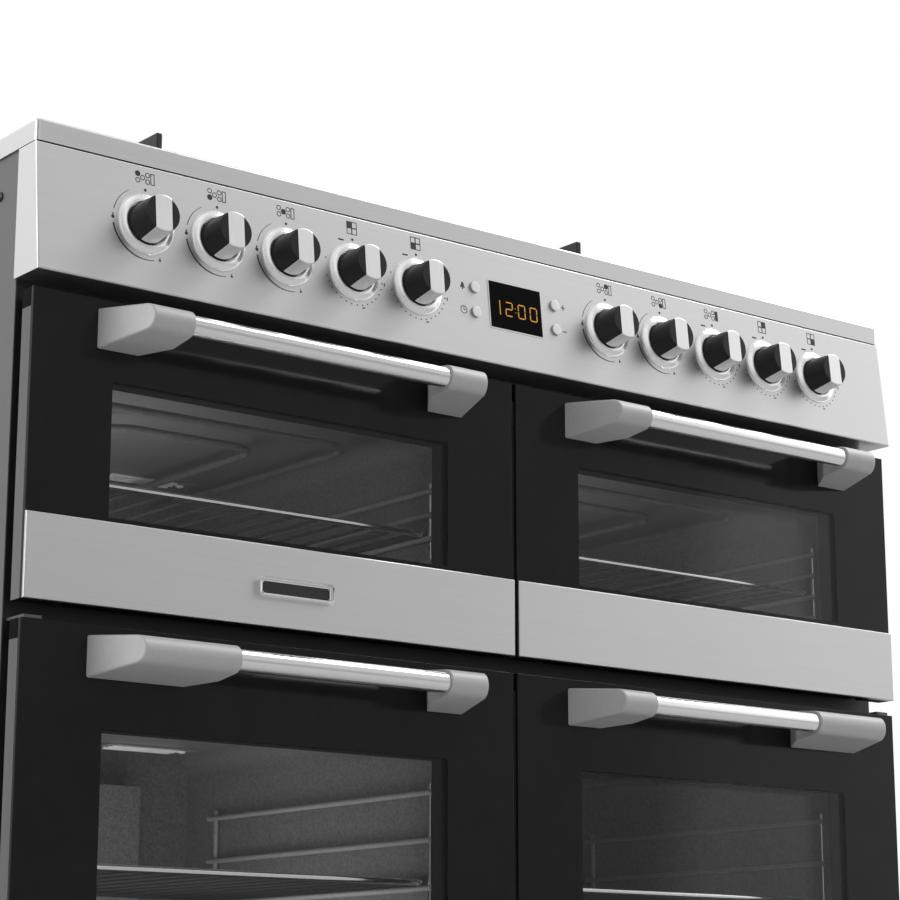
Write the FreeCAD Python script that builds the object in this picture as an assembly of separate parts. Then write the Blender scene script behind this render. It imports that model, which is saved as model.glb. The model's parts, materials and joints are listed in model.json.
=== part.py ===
"""Range cooker: five gas burners and a long hot zone over four ovens.

Millimetres. +X is the cook's right, +Y runs to the rear and +Z is up.
The origin lies on the floor, midway across the width and midway between the
front of the door handles and the rear edge of the side panels.
"""
import FreeCAD
import Part
import math
import os

Vector = FreeCAD.Vector

# Overall sizes
WIDTH = 1000.0              # across the hob and the control panel
HOB_HEIGHT = 900.0          # floor to the rim of the hob
BODY_DEPTH = 600.0          # outer door glass to the rear edge of the side panels
HANDLE_REACH = 60.0         # door glass to the front of a handle
SHEET = 1.2                 # pressed steel of the panels
STOUT_SHEET = 1.5           # pressed steel of the frame, hob and control panel
RUNNING_FIT = 0.05          # radial clearance of a turning or sliding fit
SEAT_GAP = 0.2              # clearance of a piece dropped into its seat
PUSH_FIT = 0.025            # radial clearance of a knob pushed on its spindle
OVERCUT = 2.0               # how far a cutting shape runs past the faces it opens

# Upright stack, from the hob down to the floor
HOB_SKIRT = 19.0
HOB_SEAM = 0.8
FASCIA_HEIGHT = 111.0
FASCIA_GAP = 12.0
UPPER_DOOR_SHARE = 253.0 / 628.0  # of the height that is left for the doors
DOOR_GAP = 15.0
BASE_GAP = 14.0             # lower door to the base tray
BASE_HEIGHT = 100.2         # floor to the base tray
BASE_SKIRT = 40.0
PLINTH_CLEARANCE = 10.0

# Doors
SIDE_INSET = 2.0            # side panels and door ends, in from the hob's ends
CENTRE_GAP = 4.6
DOOR_STAND = 31.0           # door glass to the front frame
GLASS = 4.0
DOOR_EDGE = 14.0            # depth of the full-size part of a door frame
DOOR_BACK = 9.0             # depth of the smaller rear part of a door frame
DOOR_STEP = 12.0            # how far the rear part is set in all round
TRIM_HEIGHT = 69.0
TRIM_PROUD = 3.0
TRIM_EDGE = 1.0
WINDOW_MARGIN = 75.0
UPPER_WINDOW_DROP = 68.0
LOWER_WINDOW_DROP = 82.0
WINDOW_UNDER_TRIM = 12.0    # how far the window runs on behind the steel trim
INNER_PANE_LAP = 12.0

# Door hinges
HINGE_INSET = 12.0          # hinge line in from the door's edge
HINGE_DEPTH = 11.0          # hinge line behind the door glass
HINGE_PIN_RADIUS = 4.0
LUG_RADIUS = 6.0
LUG_THICKNESS = 6.0
LUG_FROM_END = 40.0
LUG_PIN_LENGTH = 26.0
LUG_ROOM = 2.0
LUG_FRONT_ROOM = 1.0
HINGE_PLATE = 2.5
HINGE_PLATE_GAP = 0.6
HINGE_PIN_DEPTH = 14.0

# Door handles
HANDLE_MARGIN = 59.0        # door's end to the foot of a handle end
HANDLE_DROP = 8.5           # door's top to the top of a handle end
HANDLE_END_HEIGHT = 34.0    # at its foot on the glass
HANDLE_NOSE = 11.5          # radius of its front, round the bar
HANDLE_BAR_DROP = 15.8      # handle end's top to the middle of the bar
HANDLE_FOOT = 39.0
HANDLE_LONG_FOOT = 90.0     # hinge-side foot on the side-hung doors
HANDLE_LEAN = 18.0          # how far a handle end leans inwards at its front
HANDLE_SHOULDER = 26.0      # depth of the straight inner face that takes the bar
BAR_RADIUS = 9.0
HANDLE_EDGE = 2.0

# Control panel
FASCIA_TOP_SET = 2.0        # front of its top edge, behind the door glass
FASCIA_LEAN = 11.0          # its lower edge stands this far ahead of the top
KNOB_PITCH = 0.071 * WIDTH
KNOB_FIRST = 0.114 * WIDTH  # middle of the panel to the nearest knob
KNOBS_PER_SIDE = 5
KNOB_NAMES = ("knob_rear_left_burner", "knob_front_left_burner", "knob_centre_burner",
              "knob_upper_left_oven", "knob_lower_left_oven", "knob_rear_right_burner",
              "knob_front_right_burner", "knob_hot_zone", "knob_upper_right_oven", "knob_lower_right_oven")
KNOB_RISE = 3.0             # knob line above the middle of the panel
SPINDLE_RADIUS = 4.0
SPINDLE_HOLE = 6.0
SPINDLE_IN_TAP = 14.0
SPINDLE_IN_KNOB = 18.0
BEZEL_RADIUS = 27.0
BEZEL_LIP = 1.2
BEZEL_TOP = 1.0             # flat top of the ring round a knob
BEZEL_HEIGHT = 3.6
KNOB_BASE_RADIUS = 18.6
KNOB_BASE_HEIGHT = 4.5
KNOB_SIDE_RADIUS = 17.8
KNOB_FACE_RADIUS = 15.6
KNOB_HEIGHT = 28.5
KNOB_LIFT = 0.8
KNOB_TO_BEZEL = 0.9
GRIP_WIDTH = 15.8
GRIP_SKIN = 0.8
KNOB_EDGE = 1.0
TAP_WIDTH = 24.0
TAP_HEIGHT = 34.0
TAP_DEPTH = 30.0
SWITCH_SIZE = 40.0
SWITCH_TO_RAIL = 3.0        # switch bodies clear the rail behind the taps
RAIL_SIZE = 18.0
RAIL_OVERHANG = 30.0
CLOCK_WIDTH = 62.0
CLOCK_HEIGHT = 45.5
CLOCK_PROUD = 0.4
CLOCK_LENS = 5.0
CLOCK_BOX_WIDTH = 130.0
CLOCK_BOX_HEIGHT = 60.0
CLOCK_BOX_DEPTH = 22.0
BUTTON_RADIUS = 5.25
BUTTON_PROUD = 2.2
BUTTON_FLANGE = 1.3
BUTTON_FLANGE_DEPTH = 1.5
BUTTON_ACROSS = 48.0
BUTTON_SPACING = 24.0
BUTTON_EDGE = 0.8
PANEL_CUT = 8.0             # reach of a cutting shape each side of the panel's face

# Hob
HOB_RIM = 22.0
PAN_DEPTH = 7.0
HOB_CORNER = 4.0
HOB_EDGE = 2.5
GRATE_FROM_FRONT = 55.0     # door glass to the front bar of the pan supports
GRATE_LENGTH = 465.0
GRATE_WIDTH = 0.224 * WIDTH
GRATE_BAR = 9.0
GRATE_BAR_HEIGHT = 12.0
GRATE_LEG = 12.0
FINGER_WIDTH = 6.0
FINGER_RISE = 31.0          # finger tops above the legs
FINGER_CLEARANCE = 8.0
FINGER_RUN = 80.0           # longest raised part of a finger
LEFT_BURNERS_X = -0.352 * WIDTH
CENTRE_BURNER_X = -0.109 * WIDTH
RIGHT_BURNERS_X = 0.134 * WIDTH
BURNER_SPACING = 225.0
RAPID_RADIUS = 50.0
MEDIUM_RADIUS = 38.0
SMALL_RADIUS = 28.0
WOK_RADIUS = 64.0
BURNER_FLANGE = 4.0
BURNER_CROWN = 12.0
BURNER_CAP = 5.5
BURNER_CUP_DEPTH = 24.0
BURNER_CUP_STEP = 6.0       # cup narrower than the flange, on the radius
CROWN_STEP = 5.0
CAP_STEP = 3.0
HOT_ZONE_X = 0.372 * WIDTH
HOT_ZONE_WIDTH = 0.15 * WIDTH
HOT_ZONE_LENGTH = 400.0
HOT_ZONE_GLASS = 5.0
HOT_ZONE_LIP = 12.0
VENT_COUNT = 14
VENT_LENGTH = 0.042 * WIDTH
VENT_WIDTH = 6.0
VENT_PITCH = 0.06 * WIDTH
VENT_FROM_REAR = 46.0

# Ovens
CAVITY_WIDTH = 0.4 * WIDTH
CAVITY_DEPTH = 430.0
CAVITY_CORNER = 20.0
UPPER_CAVITY_FLOOR = 41.0   # above the bottom of the upper door
UPPER_CAVITY_ROOF = 42.0    # below the top of the upper door
LOWER_CAVITY_FLOOR = 41.0
LOWER_CAVITY_ROOF = 41.0
SEAL_INSET = 6.0
SEAL_WIDTH = 14.0
SEAL_CLEARANCE = 0.3
RACK_WIRE = 2.5
RACK_HOOK = 2.0
RACK_POST_SET = 3.5         # post centre in from the oven wall
RACK_RAIL_SET = 7.6         # rail centre in from the oven wall
RACK_FRONT = 22.0
RACK_REAR = 60.0
RACK_END = 8.0              # post beyond its end rails
UPPER_RAIL_COUNT = 4
UPPER_FIRST_RAIL_SHARE = 45.5 / 170.0  # of the oven's height
UPPER_PITCH_SHARE = 22.0 / 170.0
UPPER_SHELF_RAIL_COUNT = 2  # rails up to the one that holds the shelf
LOWER_RAIL_COUNT = 5
LOWER_FIRST_RAIL_SHARE = 60.0 / 293.0
LOWER_PITCH_SHARE = 42.0 / 293.0
LOWER_SHELF_RAIL_COUNT = 3
SHELF_ROD = 3.0
SHELF_WIRE = 1.6
SHELF_WIRES = 13
SHELF_SET = 9.0             # shelf rod centre in from the oven wall
SHELF_END_GAP = 8.0         # shelf rod to the posts
ELEMENT_ROD = 3.5
ELEMENT_TAIL = 3.0
ELEMENT_DROP = 16.0
ELEMENT_BEND = 30.0
OUTER_LOOP_HALF = 0.36 * CAVITY_WIDTH
OUTER_LOOP_FRONT = 70.0     # oven mouth to the front run of a grill loop
INNER_LOOP_HALF = 0.2 * CAVITY_WIDTH
INNER_LOOP_FRONT = 130.0
FAN_COVER_WIDTH_SHARE = 240.0 / 293.0  # of the oven's height
FAN_COVER_HEIGHT_SHARE = 220.0 / 293.0
FAN_COVER_DEPTH = 40.0
FAN_HOLE_RADIUS = 3.0
FAN_HOLE_RINGS = (6, 12, 18)
FAN_SHARE = 72.0 / 293.0
FAN_BLADES = 8
FAN_BLADE_DEPTH = 20.0
FAN_BLADE = 2.0
FAN_HUB_RADIUS = 11.0
FAN_BACK_GAP = 8.0
FAN_SHAFT_RADIUS = 5.0
FAN_SHAFT_IN_MOTOR = 40.0
FAN_SHAFT_ROOM = 1.0
MOTOR_RADIUS = 42.0
MOTOR_LENGTH = 58.0
RING_SHARE = 90.0 / 293.0

# Casing
REAR_RECESS = 30.0
PANEL_RETURN = 14.0
FOOT_RADIUS = 22.0
FOOT_PAD = 10.0
FOOT_STEM = 6.0
FOOT_NUT = 10.0
FOOT_NUT_HEIGHT = 8.0
FOOT_FROM_SIDE = 60.0
FOOT_FROM_FRAME = 60.0
FOOT_FROM_REAR = 80.0
PLINTH_SET = 20.0
TERMINAL_WIDTH = 140.0
TERMINAL_HEIGHT = 90.0
TERMINAL_DEPTH = 22.0
TERMINAL_X = 0.26 * WIDTH
TERMINAL_Z = 200.0
GLAND_RADIUS = 9.0
PIPE_RADIUS = 8.0
INLET_RADIUS = 10.5
INLET_LENGTH = 24.0
PIPE_HOLE_GAP = 1.0

# Planes worked out from the sizes above
half_width = WIDTH / 2
total_depth = BODY_DEPTH + HANDLE_REACH
y_glass = HANDLE_REACH - total_depth / 2
y_rear = total_depth / 2
y_frame = y_glass + DOOR_STAND
y_hob_front = y_glass + FASCIA_TOP_SET
y_panel = y_rear - REAR_RECESS
y_liner_front = y_frame + STOUT_SHEET
y_liner_back = y_liner_front + CAVITY_DEPTH
y_hinge = y_glass + HINGE_DEPTH
x_side = half_width - SIDE_INSET
x_inside = x_side - SHEET
z_hob_under = HOB_HEIGHT - HOB_SKIRT
z_fascia_top = z_hob_under - HOB_SEAM
z_fascia_bottom = z_fascia_top - FASCIA_HEIGHT
z_upper_top = z_fascia_bottom - FASCIA_GAP
doors_height = z_upper_top - DOOR_GAP - BASE_GAP - BASE_HEIGHT
z_upper_bottom = z_upper_top - doors_height * UPPER_DOOR_SHARE
z_lower_top = z_upper_bottom - DOOR_GAP
z_lower_bottom = BASE_HEIGHT + BASE_GAP
z_base = BASE_HEIGHT
z_pan = HOB_HEIGHT - PAN_DEPTH
z_upper_floor = z_upper_bottom + UPPER_CAVITY_FLOOR
z_lower_floor = z_lower_bottom + LOWER_CAVITY_FLOOR
upper_cavity = z_upper_top - UPPER_CAVITY_ROOF - z_upper_floor
lower_cavity = z_lower_top - LOWER_CAVITY_ROOF - z_lower_floor
fan_radius = FAN_SHARE * lower_cavity
door_width = (2 * x_side - CENTRE_GAP) / 2
x_door_middle = (CENTRE_GAP + door_width) / 2
lean_angle = math.degrees(math.atan2(FASCIA_LEAN, FASCIA_HEIGHT))
fascia_middle = Vector(0, y_hob_front - FASCIA_LEAN / 2, (z_fascia_top + z_fascia_bottom) / 2)
ACROSS = Vector(1, 0, 0)
BACK = Vector(0, 1, 0)
UP = Vector(0, 0, 1)
fascia_place = FreeCAD.Placement(fascia_middle, FreeCAD.Rotation(ACROSS, 90 - lean_angle))


def block(x0, x1, y0, y1, z0, z1):
    """Box between two corners."""
    return Part.makeBox(x1 - x0, y1 - y0, z1 - z0, Vector(x0, y0, z0))


def rod(radius, start, end):
    """Round bar from one point to another."""
    run = end - start
    return Part.makeCylinder(radius, run.Length, start, run)


def fuse_all(shapes):
    """One solid from touching pieces."""
    return shapes[0].multiFuse(shapes[1:]).removeSplitter()


def prism(points, direction):
    """Flat outline pushed along a direction."""
    face = Part.Face(Part.makePolygon(points + [points[0]]))
    return face.extrude(direction)


def round_box_along_y(x0, x1, y0, y1, z0, z1, radius):
    """Box whose four edges along Y are rounded."""
    plain = block(x0, x1, y0, y1, z0, z1)
    long_edges = [edge for edge in plain.Edges if runs_along(edge, BACK)]
    return plain.makeFillet(radius, long_edges)


def runs_along(edge, direction):
    """True for a straight edge in the given direction."""
    if not isinstance(edge.Curve, Part.Line):
        return False
    return abs(abs(edge.Curve.Direction.dot(direction)) - 1) < 1e-6


def on_fascia(shape):
    """Places a shape drawn about the panel's middle, with +Z out of its face."""
    moved = shape.copy()
    moved.Placement = fascia_place.multiply(moved.Placement)
    return moved


def save(name, solids):
    """Writes one node, as one solid or as a group of separate solids."""
    shape = solids[0] if len(solids) == 1 else Part.makeCompound(solids)
    if not shape.isValid():
        print("invalid shape", name)
    shape.exportStep("parts/" + name + ".step")


def mirror_x(shape):
    """The same piece on the other side of the cooker."""
    return shape.mirror(Vector(0, 0, 0), ACROSS)


def make_casing():
    """Side panels, rear panel, base tray, plinth and levelling feet."""
    z_bottom = z_base - BASE_SKIRT
    z_top = HOB_HEIGHT - STOUT_SHEET
    sheet = block(x_inside, x_side, y_frame, y_rear, z_bottom, z_hob_under)
    tongue = block(x_inside, x_side, y_frame, y_rear - HOB_CORNER, z_hob_under, z_top)
    y_return = y_frame + STOUT_SHEET
    front = block(x_side - PANEL_RETURN, x_side, y_return, y_return + SHEET, z_base, z_hob_under)
    rear = block(x_side - PANEL_RETURN, x_side, y_rear - SHEET, y_rear, z_bottom, z_hob_under)
    right = fuse_all([sheet, tongue, front, rear])
    save("side_panels", [mirror_x(right), right])

    back = block(-x_inside, x_inside, y_panel - SHEET, y_panel, z_base, z_hob_under)
    back = back.cut(rod(PIPE_RADIUS + PIPE_HOLE_GAP, pipe_start(), pipe_start() + BACK * total_depth))
    box_x = TERMINAL_WIDTH / 2
    box_z = TERMINAL_HEIGHT / 2
    cover = block(TERMINAL_X - box_x, TERMINAL_X + box_x, y_panel, y_panel + TERMINAL_DEPTH,
                  TERMINAL_Z - box_z, TERMINAL_Z + box_z)
    gland = Vector(TERMINAL_X, y_panel + TERMINAL_DEPTH / 2, TERMINAL_Z - box_z)
    cover = cover.cut(rod(GLAND_RADIUS, gland - UP * OVERCUT, gland + UP * box_z))
    save("rear_panel", [back, cover])

    top = block(-x_inside, x_inside, y_liner_front, y_panel - SHEET, z_base - STOUT_SHEET, z_base)
    y_skirt = y_frame + PLINTH_SET
    skirts = block(-x_inside, x_inside, y_skirt, y_panel, z_bottom, z_base - STOUT_SHEET)
    hollow = block(-x_inside + STOUT_SHEET, x_inside - STOUT_SHEET, y_skirt + STOUT_SHEET,
                   y_panel - STOUT_SHEET, z_bottom, z_base - STOUT_SHEET)
    notch = block(-x_inside, x_inside, y_panel - SHEET, y_panel, z_base - STOUT_SHEET, z_base)
    save("base_tray", [fuse_all([top, skirts.cut(hollow)]).cut(notch)])

    plinth = block(-x_side, x_side, y_skirt - SHEET, y_skirt, PLINTH_CLEARANCE, z_base - STOUT_SHEET)
    plinth = plinth.cut(side_slots(z_bottom))
    save("plinth", [plinth])

    feet = []
    for x in (-1, 1):
        for y in (y_frame + FOOT_FROM_FRAME, y_rear - FOOT_FROM_REAR):
            foot_at = Vector(x * (half_width - FOOT_FROM_SIDE), y, 0)
            pad_top = foot_at + UP * FOOT_PAD
            stem_top = foot_at + UP * (z_base - STOUT_SHEET)
            pieces = [rod(FOOT_RADIUS, foot_at, pad_top), rod(FOOT_STEM, pad_top, stem_top)]
            pieces.append(rod(FOOT_NUT, stem_top - UP * FOOT_NUT_HEIGHT, stem_top))
            feet.append(fuse_all(pieces))
    save("levelling_feet", feet)


def side_slots(z_bottom):
    """Room in the plinth's ends for the lower edges of the side panels."""
    slots = []
    for x in (-1, 1):
        low = min(x * (x_inside - SEAT_GAP), x * half_width)
        high = max(x * (x_inside - SEAT_GAP), x * half_width)
        slots.append(block(low, high, y_frame, y_rear, z_bottom - SEAT_GAP, z_base))
    return Part.makeCompound(slots)


def ovens():
    """Each oven: name, middle in X, floor height and cavity height."""
    found = []
    for level, floor, height in (("upper", z_upper_floor, upper_cavity),
                                 ("lower", z_lower_floor, lower_cavity)):
        for side, x in (("left", -x_door_middle), ("right", x_door_middle)):
            found.append((level + "_" + side, x, floor, height))
    return found


def make_front_frame():
    """Face frame with an opening for each oven, and the fixed halves of the hinges."""
    frame = block(-x_inside, x_inside, y_frame, y_liner_front, z_base - STOUT_SHEET, z_fascia_bottom)
    for name, x, floor, height in ovens():
        mouth = round_box_along_y(x - CAVITY_WIDTH / 2, x + CAVITY_WIDTH / 2, y_frame - OVERCUT,
                                  y_liner_front + OVERCUT, floor, floor + height, CAVITY_CORNER)
        frame = frame.cut(mouth)
    save("front_frame", [frame])

    brackets = []
    for side in (-1, 1):
        for x in lug_places(side):
            brackets.append(hinge_lug(x))
        for z, way in ((z_lower_top, 1), (z_lower_bottom, -1)):
            brackets.append(hinge_plate(side, z, way))
    save("hinge_brackets", brackets)


def lug_places(side):
    """Middles of the two hinge lugs of an upper door."""
    x_inner = CENTRE_GAP / 2 + LUG_FROM_END
    x_outer = x_side - LUG_FROM_END
    return (side * x_inner, side * x_outer)


def hinge_lug(x):
    """Lug on the front frame with the pin that an upper door turns on."""
    z_axis = z_upper_bottom + HINGE_INSET
    half = LUG_THICKNESS / 2
    arm = block(x - half, x + half, y_hinge, y_frame, z_axis - LUG_RADIUS, z_axis + LUG_RADIUS)
    centre = Vector(x, y_hinge, z_axis)
    eye = rod(LUG_RADIUS, centre - ACROSS * half, centre + ACROSS * half)
    pin = rod(HINGE_PIN_RADIUS, centre - ACROSS * LUG_PIN_LENGTH / 2, centre + ACROSS * LUG_PIN_LENGTH / 2)
    return fuse_all([arm, eye, pin])


def hinge_plate(side, z_edge, way):
    """Plate over or under a side-hung door, with a pin into the door's edge."""
    x_axis = side * (x_side - HINGE_INSET)
    reach = LUG_RADIUS + LUG_ROOM
    z_near = z_edge + way * HINGE_PLATE_GAP
    z_far = z_near + way * HINGE_PLATE
    plate = block(x_axis - reach, x_axis + reach, y_hinge - reach, y_frame,
                  min(z_near, z_far), max(z_near, z_far))
    start = Vector(x_axis, y_hinge, z_far)
    end = Vector(x_axis, y_hinge, z_edge - way * HINGE_PIN_DEPTH)
    return fuse_all([plate, rod(HINGE_PIN_RADIUS, start, end)])


def make_ovens():
    """Enamelled liners, side racks, shelves, heating elements, seals and the oven fan."""
    liners = []
    racks = []
    shelves = []
    elements = []
    seals = []
    for name, x, floor, height in ovens():
        wall_x = CAVITY_WIDTH / 2
        liner = round_box_along_y(x - wall_x - STOUT_SHEET, x + wall_x + STOUT_SHEET, y_liner_front,
                                  y_liner_back + STOUT_SHEET, floor - STOUT_SHEET,
                                  floor + height + STOUT_SHEET, CAVITY_CORNER + STOUT_SHEET)
        inside = round_box_along_y(x - wall_x, x + wall_x, y_liner_front - OVERCUT, y_liner_back,
                                   floor, floor + height, CAVITY_CORNER)
        liner = liner.cut(inside)
        is_upper = name.startswith("upper")
        count = UPPER_RAIL_COUNT if is_upper else LOWER_RAIL_COUNT
        first = floor + height * (UPPER_FIRST_RAIL_SHARE if is_upper else LOWER_FIRST_RAIL_SHARE)
        pitch = height * (UPPER_PITCH_SHARE if is_upper else LOWER_PITCH_SHARE)
        shelf_rail = (UPPER_SHELF_RAIL_COUNT if is_upper else LOWER_SHELF_RAIL_COUNT) - 1
        rails = [first + pitch * step for step in range(count)]
        for side in (-1, 1):
            racks.append(side_rack(x + side * wall_x, side, rails))
        shelves.append(wire_shelf(x, rails[shelf_rail] + RACK_WIRE + SHELF_ROD + SEAT_GAP))
        if name == "lower_left":
            fan_z = floor + height / 2
            hole_start = Vector(x, y_liner_back - OVERCUT, fan_z)
            hole = rod(FAN_SHAFT_RADIUS + FAN_SHAFT_ROOM, hole_start, hole_start + BACK * MOTOR_LENGTH)
            liner = liner.cut(hole)
            make_fan(x, fan_z)
            elements.append(ring_element(x, fan_z))
        else:
            z_loop = floor + height - ELEMENT_DROP
            elements.append(grill_loop(x, z_loop, OUTER_LOOP_HALF, OUTER_LOOP_FRONT))
            elements.append(grill_loop(x, z_loop, INNER_LOOP_HALF, INNER_LOOP_FRONT))
        liners.append(liner)
        seals.append(door_seal(x, floor, height))
    save("oven_liners", liners)
    save("shelf_racks", racks)
    save("oven_shelves", shelves)
    save("heating_elements", elements)
    save("door_seals", seals)


def side_rack(x_wall, side, rails):
    """Wire ladder hooked to one side wall of an oven."""
    x_post = x_wall - side * RACK_POST_SET
    x_rail = x_wall - side * RACK_RAIL_SET
    y_first = y_liner_front + RACK_FRONT
    y_last = y_liner_back - RACK_REAR
    wires = []
    for y in (y_first, y_last):
        low = Vector(x_post, y, rails[0] - RACK_END)
        wires.append(rod(RACK_WIRE, low, Vector(x_post, y, rails[-1] + RACK_END)))
        for z in (rails[0], rails[-1]):
            wires.append(rod(RACK_HOOK, Vector(x_rail, y, z), Vector(x_wall, y, z)))
    for z in rails:
        front_end = Vector(x_rail, y_first - RACK_END, z)
        wires.append(rod(RACK_WIRE, front_end, Vector(x_rail, y_last + RACK_END, z)))
    return fuse_all(wires)


def wire_shelf(x, z):
    """Chromed wire shelf that lies on a pair of rails."""
    x_rod = CAVITY_WIDTH / 2 - SHELF_SET
    y_first = y_liner_front + RACK_FRONT + SHELF_END_GAP
    y_last = y_liner_back - RACK_REAR - SHELF_END_GAP
    rods = []
    for side in (-1, 1):
        x_end = x + side * x_rod
        rods.append(rod(SHELF_ROD, Vector(x_end, y_first, z), Vector(x_end, y_last, z)))
    for y in (y_first, y_last):
        rods.append(rod(SHELF_ROD, Vector(x - x_rod, y, z), Vector(x + x_rod, y, z)))
    step = 2 * x_rod / (SHELF_WIRES + 1)
    for place in range(1, SHELF_WIRES + 1):
        x_wire = x - x_rod + step * place
        rods.append(rod(SHELF_WIRE, Vector(x_wire, y_first, z), Vector(x_wire, y_last, z)))
    return fuse_all(rods)


def grill_loop(x, z, half, front):
    """Heating rod under the oven's roof: from the rear wall, across the front and back again."""
    y_near = y_liner_front + front
    left = x - half
    right = x + half
    bend = ELEMENT_BEND
    cut = bend * (1 - math.sqrt(0.5))
    start = Vector(left, y_liner_back, z)
    turn_in = Vector(left, y_near + bend, z)
    turn_out = Vector(left + bend, y_near, z)
    back_in = Vector(right - bend, y_near, z)
    back_out = Vector(right, y_near + bend, z)
    edges = [Part.LineSegment(start, turn_in).toShape(),
             Part.Arc(turn_in, Vector(left + cut, y_near + cut, z), turn_out).toShape(),
             Part.LineSegment(turn_out, back_in).toShape(),
             Part.Arc(back_in, Vector(right - cut, y_near + cut, z), back_out).toShape(),
             Part.LineSegment(back_out, Vector(right, y_liner_back, z)).toShape()]
    section = Part.Wire(Part.makeCircle(ELEMENT_ROD, start, BACK))
    return Part.Wire(edges).makePipeShell([section], True, False)


def ring_element(x, z):
    """Ring heater round the fan, with two straight tails to the rear wall."""
    y_ring = y_liner_back - FAN_COVER_DEPTH / 2
    centre = Vector(x, y_ring, z)
    radius = RING_SHARE * lower_cavity
    ring = Part.makeTorus(radius, ELEMENT_ROD, centre, BACK)
    pieces = [ring]
    for side in (-1, 1):
        tail = centre + ACROSS * side * radius
        pieces.append(rod(ELEMENT_TAIL, tail, Vector(tail.x, y_liner_back, z)))
    return fuse_all(pieces)


def door_seal(x, floor, height):
    """Rubber seal round an oven mouth, fixed to the front frame."""
    half = CAVITY_WIDTH / 2 + SEAL_INSET
    y_near = y_glass + GLASS + DOOR_EDGE + DOOR_BACK + SEAL_CLEARANCE
    radius = CAVITY_CORNER + SEAL_INSET
    outer = round_box_along_y(x - half - SEAL_WIDTH, x + half + SEAL_WIDTH, y_near, y_frame,
                              floor - SEAL_INSET - SEAL_WIDTH, floor + height + SEAL_INSET + SEAL_WIDTH,
                              radius + SEAL_WIDTH)
    inner = round_box_along_y(x - half, x + half, y_near - OVERCUT, y_frame + OVERCUT,
                              floor - SEAL_INSET, floor + height + SEAL_INSET, radius)
    return outer.cut(inner)


def make_fan(x, z):
    """Fan, motor and perforated cover at the rear of the lower left oven."""
    half_x = FAN_COVER_WIDTH_SHARE * lower_cavity / 2
    half_z = FAN_COVER_HEIGHT_SHARE * lower_cavity / 2
    y_cover = y_liner_back - FAN_COVER_DEPTH
    cover = block(x - half_x, x + half_x, y_cover, y_liner_back, z - half_z, z + half_z)
    cover = cover.cut(block(x - half_x + SHEET, x + half_x - SHEET, y_cover + SHEET, y_liner_back + OVERCUT,
                            z - half_z + SHEET, z + half_z - SHEET))
    holes = []
    ring_step = fan_radius / (len(FAN_HOLE_RINGS) + 1)
    for ring, count in enumerate(FAN_HOLE_RINGS, 1):
        for place in range(count):
            angle = 2 * math.pi * place / count
            reach = ring * ring_step
            spot = Vector(x + reach * math.cos(angle), y_cover, z + reach * math.sin(angle))
            holes.append(rod(FAN_HOLE_RADIUS, spot - BACK * OVERCUT, spot + BACK * (SHEET + OVERCUT)))
    save("fan_cover", [cover.cut(Part.makeCompound(holes))])

    y_disc = y_liner_back - FAN_BACK_GAP
    pieces = [rod(fan_radius, Vector(x, y_disc - FAN_BLADE, z), Vector(x, y_disc, z))]
    pieces.append(rod(FAN_HUB_RADIUS, Vector(x, y_disc - FAN_BLADE_DEPTH, z), Vector(x, y_disc, z)))
    pieces.append(rod(FAN_SHAFT_RADIUS, Vector(x, y_disc - FAN_BLADE_DEPTH, z),
                      Vector(x, y_liner_back + STOUT_SHEET + FAN_SHAFT_IN_MOTOR, z)))
    for place in range(FAN_BLADES):
        blade = block(x - FAN_BLADE / 2, x + FAN_BLADE / 2, y_disc - FAN_BLADE_DEPTH, y_disc - FAN_BLADE / 2,
                      z + fan_radius / 2, z + fan_radius - FAN_BLADE)
        blade.rotate(Vector(x, y_disc, z), BACK, 360.0 * place / FAN_BLADES)
        pieces.append(blade)
    save("oven_fan", [fuse_all(pieces)])

    motor_front = Vector(x, y_liner_back + STOUT_SHEET, z)
    motor = rod(MOTOR_RADIUS, motor_front, motor_front + BACK * MOTOR_LENGTH)
    bore_end = motor_front + BACK * (FAN_SHAFT_IN_MOTOR + FAN_SHAFT_ROOM)
    bore = rod(FAN_SHAFT_RADIUS + RUNNING_FIT, motor_front, bore_end)
    save("fan_motor", [motor.cut(bore)])


def pipe_start():
    """Front end of the gas pipe, at the left end of the rail."""
    depth = STOUT_SHEET + TAP_DEPTH + RAIL_SIZE / 2
    x = knob_places()[0] - RAIL_OVERHANG + RAIL_SIZE / 2
    return fascia_place.multVec(Vector(x, KNOB_RISE, -depth))


def knob_places():
    """Knob middles across the control panel, left to right."""
    steps = [KNOB_FIRST + KNOB_PITCH * place for place in range(KNOBS_PER_SIDE)]
    return [-x for x in reversed(steps)] + steps


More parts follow.
